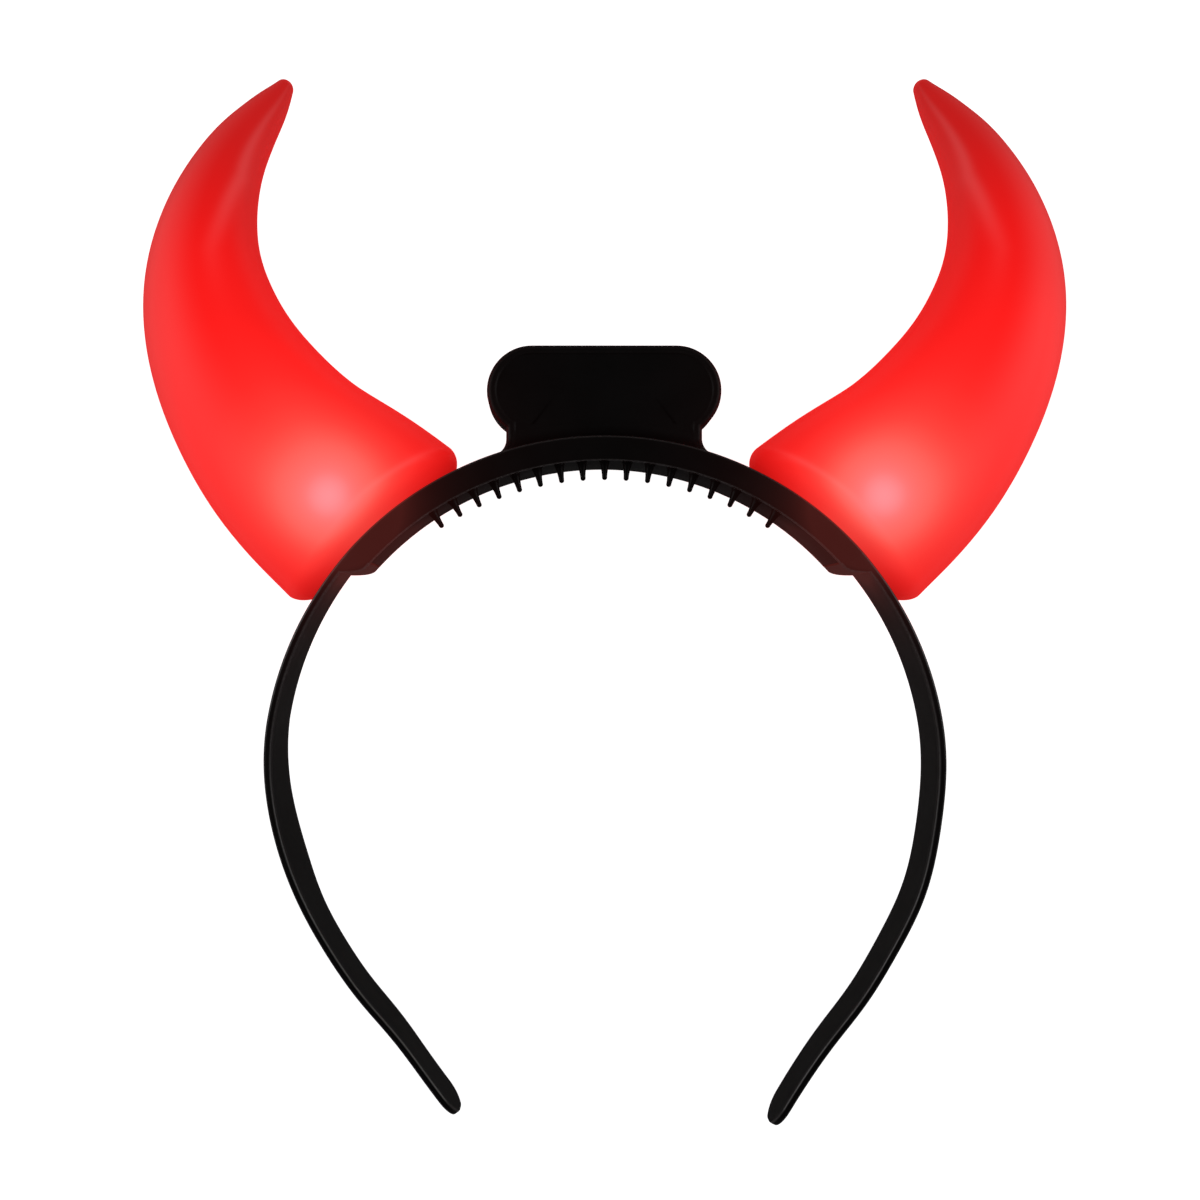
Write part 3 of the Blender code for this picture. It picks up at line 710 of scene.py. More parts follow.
@dataclass
class CrownBand:
    """The black moulding over the head: a channel on the crown, and an arm down each side.

    Its section is a rounded rectangle carried along a path of the outer face. Over the crown
    the section is a channel, open towards the head; past the channel's ends it is solid.
    """

    radius: float = 66.5 * MM
    depth: float = 16.0 * MM
    housing_height: float = 4.8 * MM
    housing_half_angle: float = 48.5
    housing_end_length: float = 4.0 * MM
    housing_end_curve: float = 1.6
    wall: float = 1.2 * MM
    edge_radius: float = 0.45 * MM
    lip_radius: float = 0.25 * MM
    draft: float = 0.15 * MM
    arc_half_angle: float = 80.0
    arm_length: float = 89.4 * MM
    arm_thickness: float = 1.5 * MM
    arm_side_step: float = 0.25 * MM
    arm_tip_width: float = 9.8 * MM
    boss_height: float = 3.5 * MM
    boss_radius: float = 4.0 * MM
    boss_sides: int = 40
    wire_hole_radius: float = 1.3 * MM
    edge_share_of_half: float = 0.9
    edge_share_of_height: float = 0.49
    channel_end_step: float = 0.0375 * MM
    last_steps: tuple[float, float] = (0.018 * MM, 0.003 * MM)
    crown_rows: int = 98
    channel_end_rows: int = 5
    end_rows: int = 22
    arm_rows: int = 150
    tip_rows: int = 22
    corner_points: int = 6
    path_steps: int = 4000

    @property
    def channel_half_angle(self) -> float:
        """The angle at which the channel ends, a wall short of the housing's end."""
        return self.housing_half_angle - math.degrees(self.wall / self.radius)

    @property
    def channel_end(self) -> float:
        """Distance along the outer face from the crown's top to the channel's end."""
        return self.radius * math.radians(self.channel_half_angle)

    @property
    def housing_end(self) -> float:
        """The same to the housing's end."""
        return self.radius * math.radians(self.housing_half_angle)

    @property
    def arc_length(self) -> float:
        """The same to the circle's end."""
        return self.radius * math.radians(self.arc_half_angle)

    @property
    def total(self) -> float:
        """The same to the arm's tip."""
        return self.arc_length + self.arm_length

    def path(self, distances: np.ndarray, side: Side) -> tuple[np.ndarray, np.ndarray]:
        """Follow one side's outer face from the crown's top: a circle, then the bend of the arm.

        The direction is the angle of the circle, and past it the table's turn; the place is the
        running sum of its sine and cosine.

        Args:
            distances: Distances along the outer face.
            side: The side whose bend is read.

        Returns:
            The places and the inward directions, as X and Y, written for the +X side.
        """
        bend = ARM_BEND_COLUMNS.index("turned_" + side.word)
        s = np.linspace(0.0, self.total, self.path_steps)
        share = span_share(s, self.arc_length, self.total)
        on_arc = np.degrees(s / self.radius) - 90.0
        past_arc = self.arc_half_angle - 90.0 + smooth_column(ARM_BEND, bend, share)
        turn = np.radians(np.where(s < self.arc_length, on_arc, past_arc))
        step = self.total / (self.path_steps - 1)
        x = running_sum(-np.sin(turn), step)
        y = self.radius + running_sum(-np.cos(turn), step)
        place = np.stack([np.interp(distances, s, x), np.interp(distances, s, y)], axis=-1)
        angle = np.interp(distances, s, turn)
        return place, np.stack([-np.cos(angle), np.sin(angle)], axis=-1)

    def lean(self, distances: np.ndarray, side: Side) -> np.ndarray:
        """How far the section leans about its front edge: the table's, eased in past the housing."""
        share = span_share(distances, self.arc_length, self.total)
        table = smooth_column(ARM_BEND, ARM_BEND_COLUMNS.index("lean_" + side.word), share)
        start = self.housing_end + self.housing_end_length
        return np.radians(table * span_share(distances, start, self.arc_length))

    def rows(self) -> np.ndarray:
        """Distances of the sections from the crown's top, closer at the housing's end and the tip."""
        tip = self.arm_tip_width / 2
        crown = np.linspace(0.0, self.channel_end, self.crown_rows)
        past_channel = np.linspace(self.channel_end + self.channel_end_step, self.housing_end,
                                   self.channel_end_rows)
        ramp = self.housing_end + self.housing_end_length * np.linspace(0.0, 1.0, self.end_rows)[1:]
        arm = np.linspace(ramp[-1], self.total - tip, self.arm_rows)[1:]
        turn = np.linspace(0.0, math.pi / 2, self.tip_rows)[1:-1]
        end = self.total - tip + tip * np.sin(turn)
        last = self.total - np.array(self.last_steps)
        return np.concatenate([crown, past_channel, ramp, arm, end[end < last[0]], last])

    def skin(self) -> Skin:
        """Carry the section along the path, on both sides of the crown's top."""
        distances = self.rows()
        arm_start = self.housing_end + self.housing_end_length
        in_channel = distances <= self.channel_end
        tip = self.arm_tip_width / 2

        arm_share = span_share(distances, arm_start, self.total)
        ramp_share = span_share(distances, self.housing_end, arm_start)
        half = self.depth / 2 - self.arm_side_step * ramp_share
        half = half + (tip - (self.depth / 2 - self.arm_side_step)) * arm_share
        half = half * np.sqrt(1.0 - span_share(distances, self.total - tip, self.total) ** 2)
        height = self.arm_thickness + (self.housing_height - self.arm_thickness) * (
            1.0 - ramp_share**self.housing_end_curve)
        drop = self.edge_radius * round_over(span_share(self.total - distances, 0.0, self.edge_radius))
        edge = np.minimum(half * self.edge_share_of_half, (height - 2 * drop) * self.edge_share_of_height)
        edge = np.minimum(self.edge_radius, edge)
        lip = np.where(in_channel, self.lip_radius, edge)

        inner = half * (1.0 - self.wall / (self.depth / 2))
        low = height - drop
        roof = np.where(in_channel, self.wall, low)
        # The section's front half, from the outer face's middle round to the roof's: how far below
        # the outer face, how far in front of the middle, and how near an edge each point lies, which sets
        # the edge's lighter colour, partly worn plastic and partly a painted highlight
        turn = [(1 - math.cos(angle), 1 - math.sin(angle), math.sin(2 * angle))
                for angle in np.linspace(0.0, math.pi / 2, self.corner_points)]
        columns = [(drop, (half - edge) * share, 0.0) for share in (0.0, 0.35, 0.7, 0.9)]
        columns += [(drop + edge * fall, half - edge * back, edge_mark) for fall, back, edge_mark in turn]
        start, end = drop + edge, low - lip
        columns += [(start + (end - start) * share, half, 0.0) for share in (0.25, 0.5, 0.75)]
        columns += [(low - lip * back, half - lip * fall, edge_mark) for fall, back, edge_mark in turn]
        columns += [
            (low, inner + (half - lip - inner) * 0.5, 0.0), (low, inner, 0.4),
            (roof, inner - self.draft * inner / (self.depth / 2), 0.0),
            (roof, inner * 0.5, 0.0), (roof, inner * 0.0, 0.0),
        ]

        section = columns + [(t, -z, edge_mark) for t, z, edge_mark in reversed(columns[1:-1])]
        edge_marks = np.empty((len(distances), len(section)))
        sides: dict[Side, np.ndarray] = {}
        for side in Side:
            place, inward = self.path(distances, side)
            lean = self.lean(distances, side)
            rings = np.empty((len(distances), len(section), 3))
            for k, (t, z, edge_mark) in enumerate(section):
                behind = half - z
                leaned = t * np.cos(lean) + behind * np.sin(lean)
                rings[:, k, :2] = (place + inward * leaned[:, None]) * (side.value, 1.0)
                rings[:, k, 2] = half - behind * np.cos(lean) + t * np.sin(lean)
                edge_marks[:, k] = edge_mark
            sides[side] = rings
        whole = np.concatenate([sides[Side.LEFT][:0:-1], sides[Side.RIGHT]])
        return Skin(whole, np.concatenate([edge_marks[:0:-1], edge_marks]))

    def boss(self, angle: float) -> Skin:
        """A lamp's boss: a tube turned about the crown's radius, from the roof to its rim."""
        foot = self.radius - self.wall / 2
        rim = self.radius + self.boss_height
        round_off = self.lip_radius
        profile = np.array([
            (self.wire_hole_radius, foot), (self.wire_hole_radius, rim - round_off),
            (self.wire_hole_radius + round_off, rim), (self.boss_radius - round_off, rim),
            (self.boss_radius, rim - round_off), (self.boss_radius, foot),
        ])
        return turned_skin(profile, angle, self.boss_sides, looped=True)

    def build(self, shop: Workshop, finish: BlackAbs, lamp_angle: float) -> bpy.types.Object:
        """Make the band with its lamp bosses."""
        skins = [self.skin(), self.boss(lamp_angle), self.boss(-lamp_angle)]
        return shop.make("band_shell", skins, finish.dress(), "band")


def turned_skin(profile: np.ndarray, degrees: float, sides: int, looped: bool = False,
                centre_z: float = 0.0) -> Skin:
    """Turn a profile about a radius of the crown.

    A point is the axis at its height, plus its radius times the cosine of the phase sideways,
    plus its radius times the sine of the phase along Z.

    Args:
        profile: Radius from the axis and height from the crown's centre, row by row.
        degrees: The axis' angle from straight up.
        sides: How many points go round.
        looped: Whether the profile closes on itself.
        centre_z: How far in front of the mid-plane the axis stands.

    Returns:
        The turned surface.
    """
    phase = np.linspace(0.0, 2 * math.pi, sides, endpoint=False)
    outwards = on_circle(1.0, degrees)
    sideways = on_circle(1.0, degrees + 90.0)
    rings = np.empty((len(profile), sides, 3))
    rings[..., :2] = profile[:, 1, None, None] * outwards
    rings[..., :2] += (profile[:, 0, None] * np.cos(phase))[..., None] * sideways
    rings[..., 2] = centre_z + profile[:, 0, None] * np.sin(phase)
    return Skin(rings, np.zeros(rings.shape[:2]), looped=looped)


@dataclass
class UprightCase:
    """The black case that stands up in the middle of the crown.

    Its outline has a flat top, round ends, and a neck that flares into the crown. Its face lies
    a little behind a rounded rim, and near the crown it sweeps forward in a cove until it meets
    the band's front edge.
    """

    band: CrownBand
    width: float = 46.0 * MM
    rise: float = 18.2 * MM
    neck_inset: float = 3.8 * MM
    neck_height: float = 2.2 * MM
    neck_fillet: float = 4.0 * MM
    depth: float = 9.0 * MM
    rim_radius: float = 1.0 * MM
    sink: float = 0.15 * MM
    foot_depth: float = 2.9 * MM
    recess_start: float = 1.5 * MM
    recess_width: float = 0.5 * MM
    recess_depth: float = 0.18 * MM
    recess_ease: float = 1.0 * MM
    # At the recess's edge the lighter edge colour is partly worn plastic and partly a painted highlight
    recess_edge_mark: float = 0.35
    cove_height: float = 2.7 * MM
    cove_margin: float = 0.6 * MM
    rim_rows: int = 8
    recess_rows: int = 7
    face_rows: int = 26
    face_spacing: float = 1.6
    top_points: int = 24
    corner_points: int = 44
    neck_points: int = 5
    flare_points: int = 26
    foot_points: int = 80
    middle_height: float = 9.6 * MM
    middle_share: float = 0.5
    last_share: float = 0.88

    @property
    def flare_centre(self) -> tuple[float, float]:
        """The centre of the arc by which the neck flares into the crown."""
        x = self.width / 2 - self.neck_inset + self.neck_fillet
        return x, math.sqrt((self.band.radius - self.sink + self.neck_fillet) ** 2 - x**2)

    def corner_radius(self) -> float:
        """The radius of the round ends, which run from the flat top down to the neck."""
        fall = self.band.radius + self.rise - self.flare_centre[1] - self.neck_height
        return fall + self.neck_inset - math.sqrt(2 * fall * self.neck_inset)

    def outline(self, inset: float) -> np.ndarray:
        """The outline moved in: half of the top, a round end, the neck, its flare and the foot.

        Args:
            inset: How far inside the true outline it runs.

        Returns:
            Points from the top's middle clockwise all the way round.
        """
        corner = self.corner_radius()
        radius = corner - inset
        neck = self.width / 2 - self.neck_inset - inset
        centre = np.array([self.width / 2 - corner, self.band.radius + self.rise - corner])
        top = np.linspace(0.0, centre[0], self.top_points)[:-1]
        start = np.stack([top, np.full(len(top), centre[1] + radius)], axis=-1)
        end_turn = math.pi / 2 + math.acos((neck - centre[0]) / radius)
        turn = np.linspace(0.0, end_turn, self.corner_points)
        bulge = centre + radius * np.stack([np.sin(turn), np.cos(turn)], axis=-1)
        flare = self.neck_fillet + inset
        flare_x, flare_y = self.flare_centre
        down = np.linspace(bulge[-1, 1], flare_y, self.neck_points)[1:-1]
        straight = np.stack([np.full(len(down), neck), down], axis=-1)
        turn = np.linspace(math.pi, math.pi + math.atan2(flare_y, flare_x), self.flare_points)
        flared = np.array([flare_x, flare_y]) + flare * np.stack([np.cos(turn), np.sin(turn)], axis=-1)
        foot = math.degrees(math.atan2(flare_x, flare_y))
        base = on_circle(self.band.radius - self.foot_depth, np.linspace(foot, 0.0, self.foot_points))
        right = np.concatenate([start, bulge, straight, flared, base])
        left = right[-2:0:-1] * np.array([-1.0, 1.0])
        return np.concatenate([right, left])

    def front(self, points: np.ndarray) -> np.ndarray:
        """How far in front of the mid-plane the face lies: flat, and swept forward near the crown.

        The cove is a quarter ellipse that starts level with the face and ends level with the
        crown's outer face, just behind the band's front edge.
        """
        reach = self.band.depth / 2 - self.cove_margin - self.depth / 2
        above_crown = np.linalg.norm(points, axis=-1) - self.band.radius
        return self.depth / 2 + reach * round_over(span_share(above_crown, 0.0, self.cove_height))

    def recess(self, points: np.ndarray) -> np.ndarray:
        """How far the face lies behind its rim: nothing where the cove sweeps forward."""
        above_cove = np.linalg.norm(points, axis=-1) - self.band.radius - self.cove_height
        return self.recess_depth * smooth_step(above_cove, 0.0, self.recess_ease)

    def half_rings(self) -> tuple[list[np.ndarray], list[np.ndarray]]:
        """Rings from the side wall over the rim to the middle of the face.

        Returns:
            The rings as XYZ, and how near the rim's edge each point lies.
        """
        rings: list[np.ndarray] = []
        edge_mark: list[np.ndarray] = []
        for angle in np.linspace(0.0, math.pi / 2, self.rim_rows):
            flat = self.outline(self.rim_radius * (1.0 - math.cos(angle)))
            z = self.front(flat) - self.rim_radius * (1.0 - math.sin(angle))
            rings.append(np.column_stack([flat, z]))
            edge_mark.append(np.full(len(flat), math.sin(2 * angle)))
        for share in np.linspace(0.0, 1.0, self.recess_rows):
            inset = self.recess_start + self.recess_width * share
            flat = self.outline(inset)
            sunk = self.recess(flat) * smooth_step(share)
            rings.append(np.column_stack([flat, self.front(flat) - sunk]))
            edge_mark.append(np.full(len(flat), self.recess_edge_mark * (1.0 - share)))
        last = self.outline(self.recess_start + self.recess_width)
        inside = self.width / 2 - self.neck_inset - self.recess_start - self.recess_width
        middle = np.column_stack([
            np.clip(last[:, 0], -inside, inside) * self.middle_share,
            np.full(len(last), self.band.radius + self.middle_height),
        ])
        for share in np.linspace(0.0, 1.0, self.face_rows)[1:] ** self.face_spacing * self.last_share:
            flat = last + (middle - last) * share
            rings.append(np.column_stack([flat, self.front(flat) - self.recess(flat)]))
            edge_mark.append(np.zeros(len(flat)))
        return rings, edge_mark

    def skin(self) -> Skin:
        """The back half, the side wall and the front half as one surface."""
        rings, edge_mark = self.half_rings()
        back = [ring * np.array([1.0, 1.0, -1.0]) for ring in reversed(rings)]
        return Skin(np.array(back + rings), np.array(edge_mark[::-1] + edge_mark), flat_ends=True)

    def build(self, shop: Workshop, finish: BlackAbs) -> bpy.types.Object:
        """Make the case."""
        return shop.make("upright_case", [self.skin()], finish.dress(), "band")


@dataclass
class CombStrip:
    """The strip that closes the channel towards the head, with short teeth along its front."""

    band: CrownBand
    gap: float = 0.3 * MM
    thickness: float = 1.2 * MM
    edge_radius: float = 0.18 * MM
    tooth_count: int = 17
    tooth_pitch: float = 4.1
    tooth_length: float = 3.6 * MM
    root_radius: float = 0.8 * MM
    tip_radius: float = 0.5 * MM
    flare_radius: float = 0.35 * MM
    flare_length: float = 0.45 * MM
    tooth_margin: float = 0.2 * MM
    tip_last_angle: float = 1.45
    tooth_rows: int = 16
    tooth_sides: int = 22
    strip_rows: int = 150
    end_shares: tuple[float, ...] = (0.0, 0.08, 0.3, 0.6)
    corner_points: int = 5

    @property
    def inner(self) -> float:
        """The radius of the face towards the head."""
        return self.band.radius - self.band.housing_height

    @property
    def half_depth(self) -> float:
        """Half of the strip's depth, between the channel's walls."""
        return self.band.depth / 2 - self.band.wall - self.gap

    def strip(self) -> Skin:
        """A rounded rectangle carried along the arc, drawn in at both ends by its edge's radius."""
        half_angle = self.band.channel_half_angle - math.degrees(self.gap / self.inner)
        angles = np.linspace(-half_angle, half_angle, self.strip_rows)
        ends = math.degrees(self.edge_radius / self.inner) * np.array(self.end_shares)
        angles = np.unique(np.concatenate([angles, -half_angle + ends, half_angle - ends]))
        to_end = np.radians(half_angle - np.abs(angles)) * self.inner
        drawn = self.edge_radius * round_over(span_share(to_end, 0.0, self.edge_radius))
        turn = np.linspace(0.0, math.pi / 2, self.corner_points)
        quarter = np.column_stack([np.sin(turn), np.cos(turn)])
        signs = ((1.0, 1.0), (1.0, -1.0), (-1.0, -1.0), (-1.0, 1.0))
        half_thick = self.thickness / 2
        middle = np.array([self.half_depth, half_thick]) - self.edge_radius
        flat = np.concatenate([
            (middle + self.edge_radius * (quarter if index % 2 == 0 else quarter[::-1])) * sign
            for index, sign in enumerate(signs)
        ])
        section = (np.abs(flat) - drawn[:, None, None]) * np.sign(flat)
        radius = self.inner + half_thick + section[..., 1]
        rings = np.empty(radius.shape + (3,))
        rings[..., :2] = on_circle(radius, np.broadcast_to(angles[:, None], radius.shape))
        rings[..., 2] = section[..., 0]
        # How near an edge each point lies: it sets the edge's lighter colour, partly worn plastic and
        # partly a painted highlight
        worn = np.broadcast_to(np.tile(np.sin(2 * turn), len(signs)), radius.shape)
        return Skin(rings, worn, flat_ends=True)

    def tooth(self, degrees: float) -> Skin:
        """One tooth: a pin that tapers from a flared root to a round tip."""
        share = np.linspace(0.0, 1.0, self.tooth_rows)
        straight = self.tooth_length - self.tip_radius
        round_off = share[1:] * self.tip_last_angle
        along = np.concatenate([straight * share, straight + self.tip_radius * np.sin(round_off)])
        taper = self.root_radius + (self.tip_radius - self.root_radius) * smooth_step(along / straight)
        flare = self.flare_radius * np.exp(-along / self.flare_length)
        round_tip = np.concatenate([np.ones(len(share)), np.cos(round_off)])
        radius = (taper + flare) * round_tip
        root = self.thickness / 2
        profile = np.column_stack([
            np.concatenate([[radius[0]], radius]), self.inner - np.concatenate([[-root], along]),
        ])
        centre_z = self.half_depth - self.root_radius - self.tooth_margin
        return turned_skin(profile, degrees, self.tooth_sides, centre_z=centre_z)

    def build(self, shop: Workshop, finish: BlackAbs) -> bpy.types.Object:
        """Make the strip and its teeth."""
        middle = (self.tooth_count - 1) / 2
        teeth = [self.tooth((index - middle) * self.tooth_pitch) for index in range(self.tooth_count)]
        return shop.make("comb_strip", [self.strip()] + teeth, finish.dress(), "comb_cover")


# Share of the horn's length, its lean outwards from the seat's axis in degrees, and the section's
# width and depth as shares of the horn's
HORN_SECTIONS = (
    (0.00, 6.0, 0.990, 0.850),
    (0.12, 11.0, 0.930, 0.890),
    (0.25, -2.5, 0.824, 0.945),
    (0.40, -14.5, 0.703, 1.000),
    (0.55, -32.3, 0.566, 0.930),
    (0.70, -53.5, 0.398, 0.745),
    (0.80, -66.2, 0.296, 0.570),
    (0.90, -78.8, 0.202, 0.380),
    (0.96, -79.0, 0.136, 0.240),
    (1.00, -75.0, 0.074, 0.125),
)


# Share of the horn's length, and how far aside the painted highlight's streak on the inner side runs there
STREAK_PATH = (
    (0.62, -0.34),
    (0.69, -0.52),
    (0.79, -0.72),
    (0.93, -0.60),
)


class HornColumn(Enum):
    """The columns of HORN_SECTIONS after the share."""

    LEAN = 1
    WIDTH = 2
    DEPTH = 3


@dataclass
class Horn:
    """A hollow horn on the crown: rounded sections along a centre line that curls inwards.

    A section is a superellipse. Near the seat it follows the crown's curve, and further up it
    lies flat across the centre line. The shoulder turns in from the horn's full section to its
    seat on the band.
    """

    band: CrownBand
    side: Side
    angle: float = 42.1
    length: float = 104.3 * MM
    width: float = 44.8 * MM
    depth: float = 29.4 * MM
    wall: float = 1.1 * MM
    gap: float = 0.05 * MM
    seat_width: float = 36.2 * MM
    seat_margin: float = 0.5 * MM
    shoulder_height: float = 5.2 * MM
    shoulder_curve: float = 1.6
    squareness: float = 2.3
    level_share: float = 0.30
    hollow_end_share: float = 0.93
    slant_loss: float = 0.32
    shoulder_loss: float = 0.20
    shoulder_loss_share: float = 0.95
    # Where the painted highlights lie: a broad band on the outer side halfway up, a streak towards the
    # inner side further up, and a line on the inner half of the shoulder's ridge
    highlight_aside: tuple[float, float] = (-0.15, 0.70)
    highlight_centre: float = 0.55
    highlight_reach: float = 0.34
    streak_width: float = 0.15
    streak_centre: float = 0.80
    streak_reach: float = 0.17
    streak_highlight_strength: float = 0.85
    ridge_width: float = 0.6 * MM
    ridge_rise: tuple[float, float] = (-1.0, -0.65)
    ridge_fall: tuple[float, float] = (0.25, -0.35)
    ridge_highlight_strength: float = 0.65
    ring_points: int = 128
    shoulder_rows: int = 30
    shoulder_spacing: float = 1.5
    body_rows: int = 120
    dome_rows: int = 12
    path_steps: int = 2000

    def heights(self, end: float) -> np.ndarray:
        """Heights of the sections above the seat, closer over the shoulder."""
        rise = np.linspace(0.0, 1.0, self.shoulder_rows) ** self.shoulder_spacing * self.shoulder_height
        return np.concatenate([rise, np.linspace(self.shoulder_height, end, self.body_rows)[1:]])

    def section(self) -> tuple[np.ndarray, np.ndarray]:
        """A superellipse's points: how far aside and how far forward each lies, from -1 to 1."""
        phase = np.linspace(0.0, 2 * math.pi, self.ring_points, endpoint=False)
        aside, forward = (np.sign(part) * np.abs(part) ** (2.0 / self.squareness)
                          for part in (np.cos(phase), np.sin(phase)))
        return aside, forward

    def half_size(self, column: HornColumn, size: float, seat: float, height: np.ndarray) -> np.ndarray:
        """Half of the horn's width or depth: the table's, turned in to the seat's over the shoulder.

        Args:
            column: Which of the table's columns gives the share.
            size: The horn's full width or depth.
            seat: The same at the seat.
            height: Heights above the seat along the centre line.

        Returns:
            Half sizes at those heights.
        """
        share = span_share(height, 0.0, self.length)
        full = smooth_column(HORN_SECTIONS, column.value, share) * size / 2
        turned_out = 1.0 - (1.0 - span_share(height, 0.0, self.shoulder_height)) ** self.shoulder_curve
        return seat / 2 + (full - seat / 2) * turned_out

    def rings(self, inset: float) -> np.ndarray:
        """Sections from the seat to the tip, or to the hollow's end when inset is the wall.

        Args:
            inset: How far inside the outer surface the rings lie.

        Returns:
            Ring by point by XYZ.
        """
        outer = inset == 0.0
        end = self.length if outer else self.length * self.hollow_end_share
        nominal = self.heights(end - inset)
        height = nominal if outer else np.concatenate([[0.0], nominal[1:] + inset])

        fine = np.linspace(0.0, self.length, self.path_steps)
        lean = np.radians(smooth_column(HORN_SECTIONS, HornColumn.LEAN.value, fine / self.length))
        step = self.length / (self.path_steps - 1)
        level = smooth_step(height, 0.0, self.length * self.level_share)
        turn = np.interp(height, fine, lean) * level
        half_width = self.half_size(HornColumn.WIDTH, self.width, self.seat_width, nominal) - inset
        seat_depth = self.band.depth - 2 * self.seat_margin
        half_depth = self.half_size(HornColumn.DEPTH, self.depth, seat_depth, nominal) - inset
        centre_along = np.interp(height, fine, running_sum(np.sin(lean), step))
        centre_up = np.interp(height, fine, running_sum(np.cos(lean), step))

        # The dome starts at the slope that the walls have reached, so they run into it smoothly
        slope = math.atan2(half_width[-2] - half_width[-1], height[-1] - height[-2])
        dome = np.linspace(slope, math.pi / 2, self.dome_rows)[1:-1]
        closing = np.cos(dome) / math.cos(slope)
        reach = half_width[-1] / math.cos(slope) * (np.sin(dome) - math.sin(slope))
        centre_along = np.append(centre_along, centre_along[-1] + reach * np.sin(turn[-1]))
        centre_up = np.append(centre_up, centre_up[-1] + reach * np.cos(turn[-1]))
        half_width = np.append(half_width, half_width[-1] * closing)
        half_depth = np.append(half_depth, half_depth[-1] * closing)
        turn = np.append(turn, np.full(len(dome), turn[-1]))
        level = np.append(level, np.ones(len(dome)))

        aside, forward = self.section()
        seat_radius = self.band.radius + self.gap
        width_offset = half_width[:, None] * aside
        bow = np.sqrt(np.maximum(seat_radius**2 - width_offset**2, 0.0)) - seat_radius
        bow *= (1.0 - level)[:, None]
        sine = np.sin(turn)[:, None]
        cosine = np.cos(turn)[:, None]
        tangent = centre_along[:, None] + width_offset * cosine + bow * sine
        radial = seat_radius + centre_up[:, None] - width_offset * sine + bow * cosine
        seat = math.radians(self.angle)
        rings = np.empty((len(half_width), self.ring_points, 3))
        rings[..., 0] = self.side.value * (radial * math.sin(seat) + tangent * math.cos(seat))
        rings[..., 1] = radial * math.cos(seat) - tangent * math.sin(seat)
        rings[..., 2] = half_depth[:, None] * forward
        return rings

    def wall_values(self, count: int) -> tuple[np.ndarray, np.ndarray]:
        """How much light the outer wall lets through, and where a highlight is painted on it.

        Aside is 1 on the outer side, -1 on the inner side and 0 in the middle of the front or back.
        Light is lost by its cube, since the wall is crossed at a slant there, and near the seat,
        where the shoulder is thick. A highlight is painted on the wall, standing for reflections of the
        lights: along the outer side of the bend, halfway up, in a streak towards the inner side further
        up, and in a narrow line on the inner half of the shoulder's ridge.

        Args:
            count: How many rings the outside has.

        Returns:
            Both values, ring by point.
        """
        height = self.heights(self.length)
        height = np.concatenate([height, np.full(count - len(height), self.length)])[:, None]
        aside, _ = self.section()
        low = 1.0 - smooth_step(height, 0.0, self.shoulder_height * self.shoulder_loss_share)
        light = (1.0 - self.slant_loss * np.abs(aside) ** 3) * (1.0 - self.shoulder_loss * low)
        share = height / self.length
        painted_highlight = np.exp(-((share - self.highlight_centre) / self.highlight_reach) ** 2)
        painted_highlight = painted_highlight * smooth_step(aside, *self.highlight_aside)
        off_streak = (aside - np.interp(share, *np.transpose(STREAK_PATH))) / self.streak_width
        streak = np.exp(-off_streak**2 - ((share - self.streak_centre) / self.streak_reach) ** 2)
        ridge = np.exp(-(((height - self.shoulder_height) / self.ridge_width) ** 2))
        ridge = ridge * smooth_step(aside, *self.ridge_fall) * smooth_step(aside, *self.ridge_rise)
        return light, painted_highlight + self.streak_highlight_strength * streak + self.ridge_highlight_strength * ridge

    def build(self, shop: Workshop, material: bpy.types.Material) -> bpy.types.Object:
        """Make the horn: its hollow from the far end down to the seat, and its outside up to the tip."""
        outer = self.rings(0.0)
        inner = self.rings(self.wall)[::-1]
        light, painted_highlight = self.wall_values(len(outer))
        hollow = np.ones(inner.shape[:2])
        skin = Skin(np.concatenate([inner, outer]), np.concatenate([hollow, light]),
                    painted_highlight=np.concatenate([np.zeros_like(hollow), painted_highlight]))
        word = self.side.word
        return shop.make("horn_shell_" + word, [skin], material, "horn_" + word)


@dataclass
class Lamp:
    """A round-topped 5 mm lamp on its boss inside a horn."""

    band: CrownBand
    side: Side
    angle: float = 44.0
    gap: float = 0.3 * MM
    radius: float = 2.5 * MM
    length: float = 8.6 * MM
    flange_lip: float = 0.4 * MM
    flange_height: float = 1.0 * MM
    foot_share: float = 0.5
    chip_depth: float = 5.0 * MM
    sides: int = 40
    dome_rows: int = 14

    def glow(self, worn: WornFrame) -> Glow:
        """The chip inside the resin, a little below the dome's top, and the way it faces."""
        chip = self.band.radius + self.band.boss_height + self.length - self.chip_depth
        ends = np.zeros((2, 3))
        ends[:, :2] = on_circle(np.array([chip, chip + 1.0]), self.side.value * self.angle)
        start, end = worn.place(ends).tolist()
        return Glow(tuple(start), tuple(b - a for a, b in zip(start, end)))

    def build(self, shop: Workshop, material: bpy.types.Material) -> bpy.types.Object:
        """Turn the lamp's profile: a flange, a straight side and a half-round dome."""
        foot = self.band.radius + self.band.boss_height + self.gap
        flange = self.radius + self.flange_lip
        turn = np.linspace(0.0, math.pi / 2, self.dome_rows)[:-1]
        dome_foot = foot + self.length - self.radius
        rows = [(flange * self.foot_share, foot), (flange, foot), (flange, foot + self.flange_height),
                (self.radius, foot + self.flange_height)]
        rows += [(self.radius * math.cos(a), dome_foot + self.radius * math.sin(a)) for a in turn]
        skin = turned_skin(np.array(rows), self.side.value * self.angle, self.sides)
        return shop.make("lamp_" + self.side.word, [skin], material, "led_" + self.side.word)


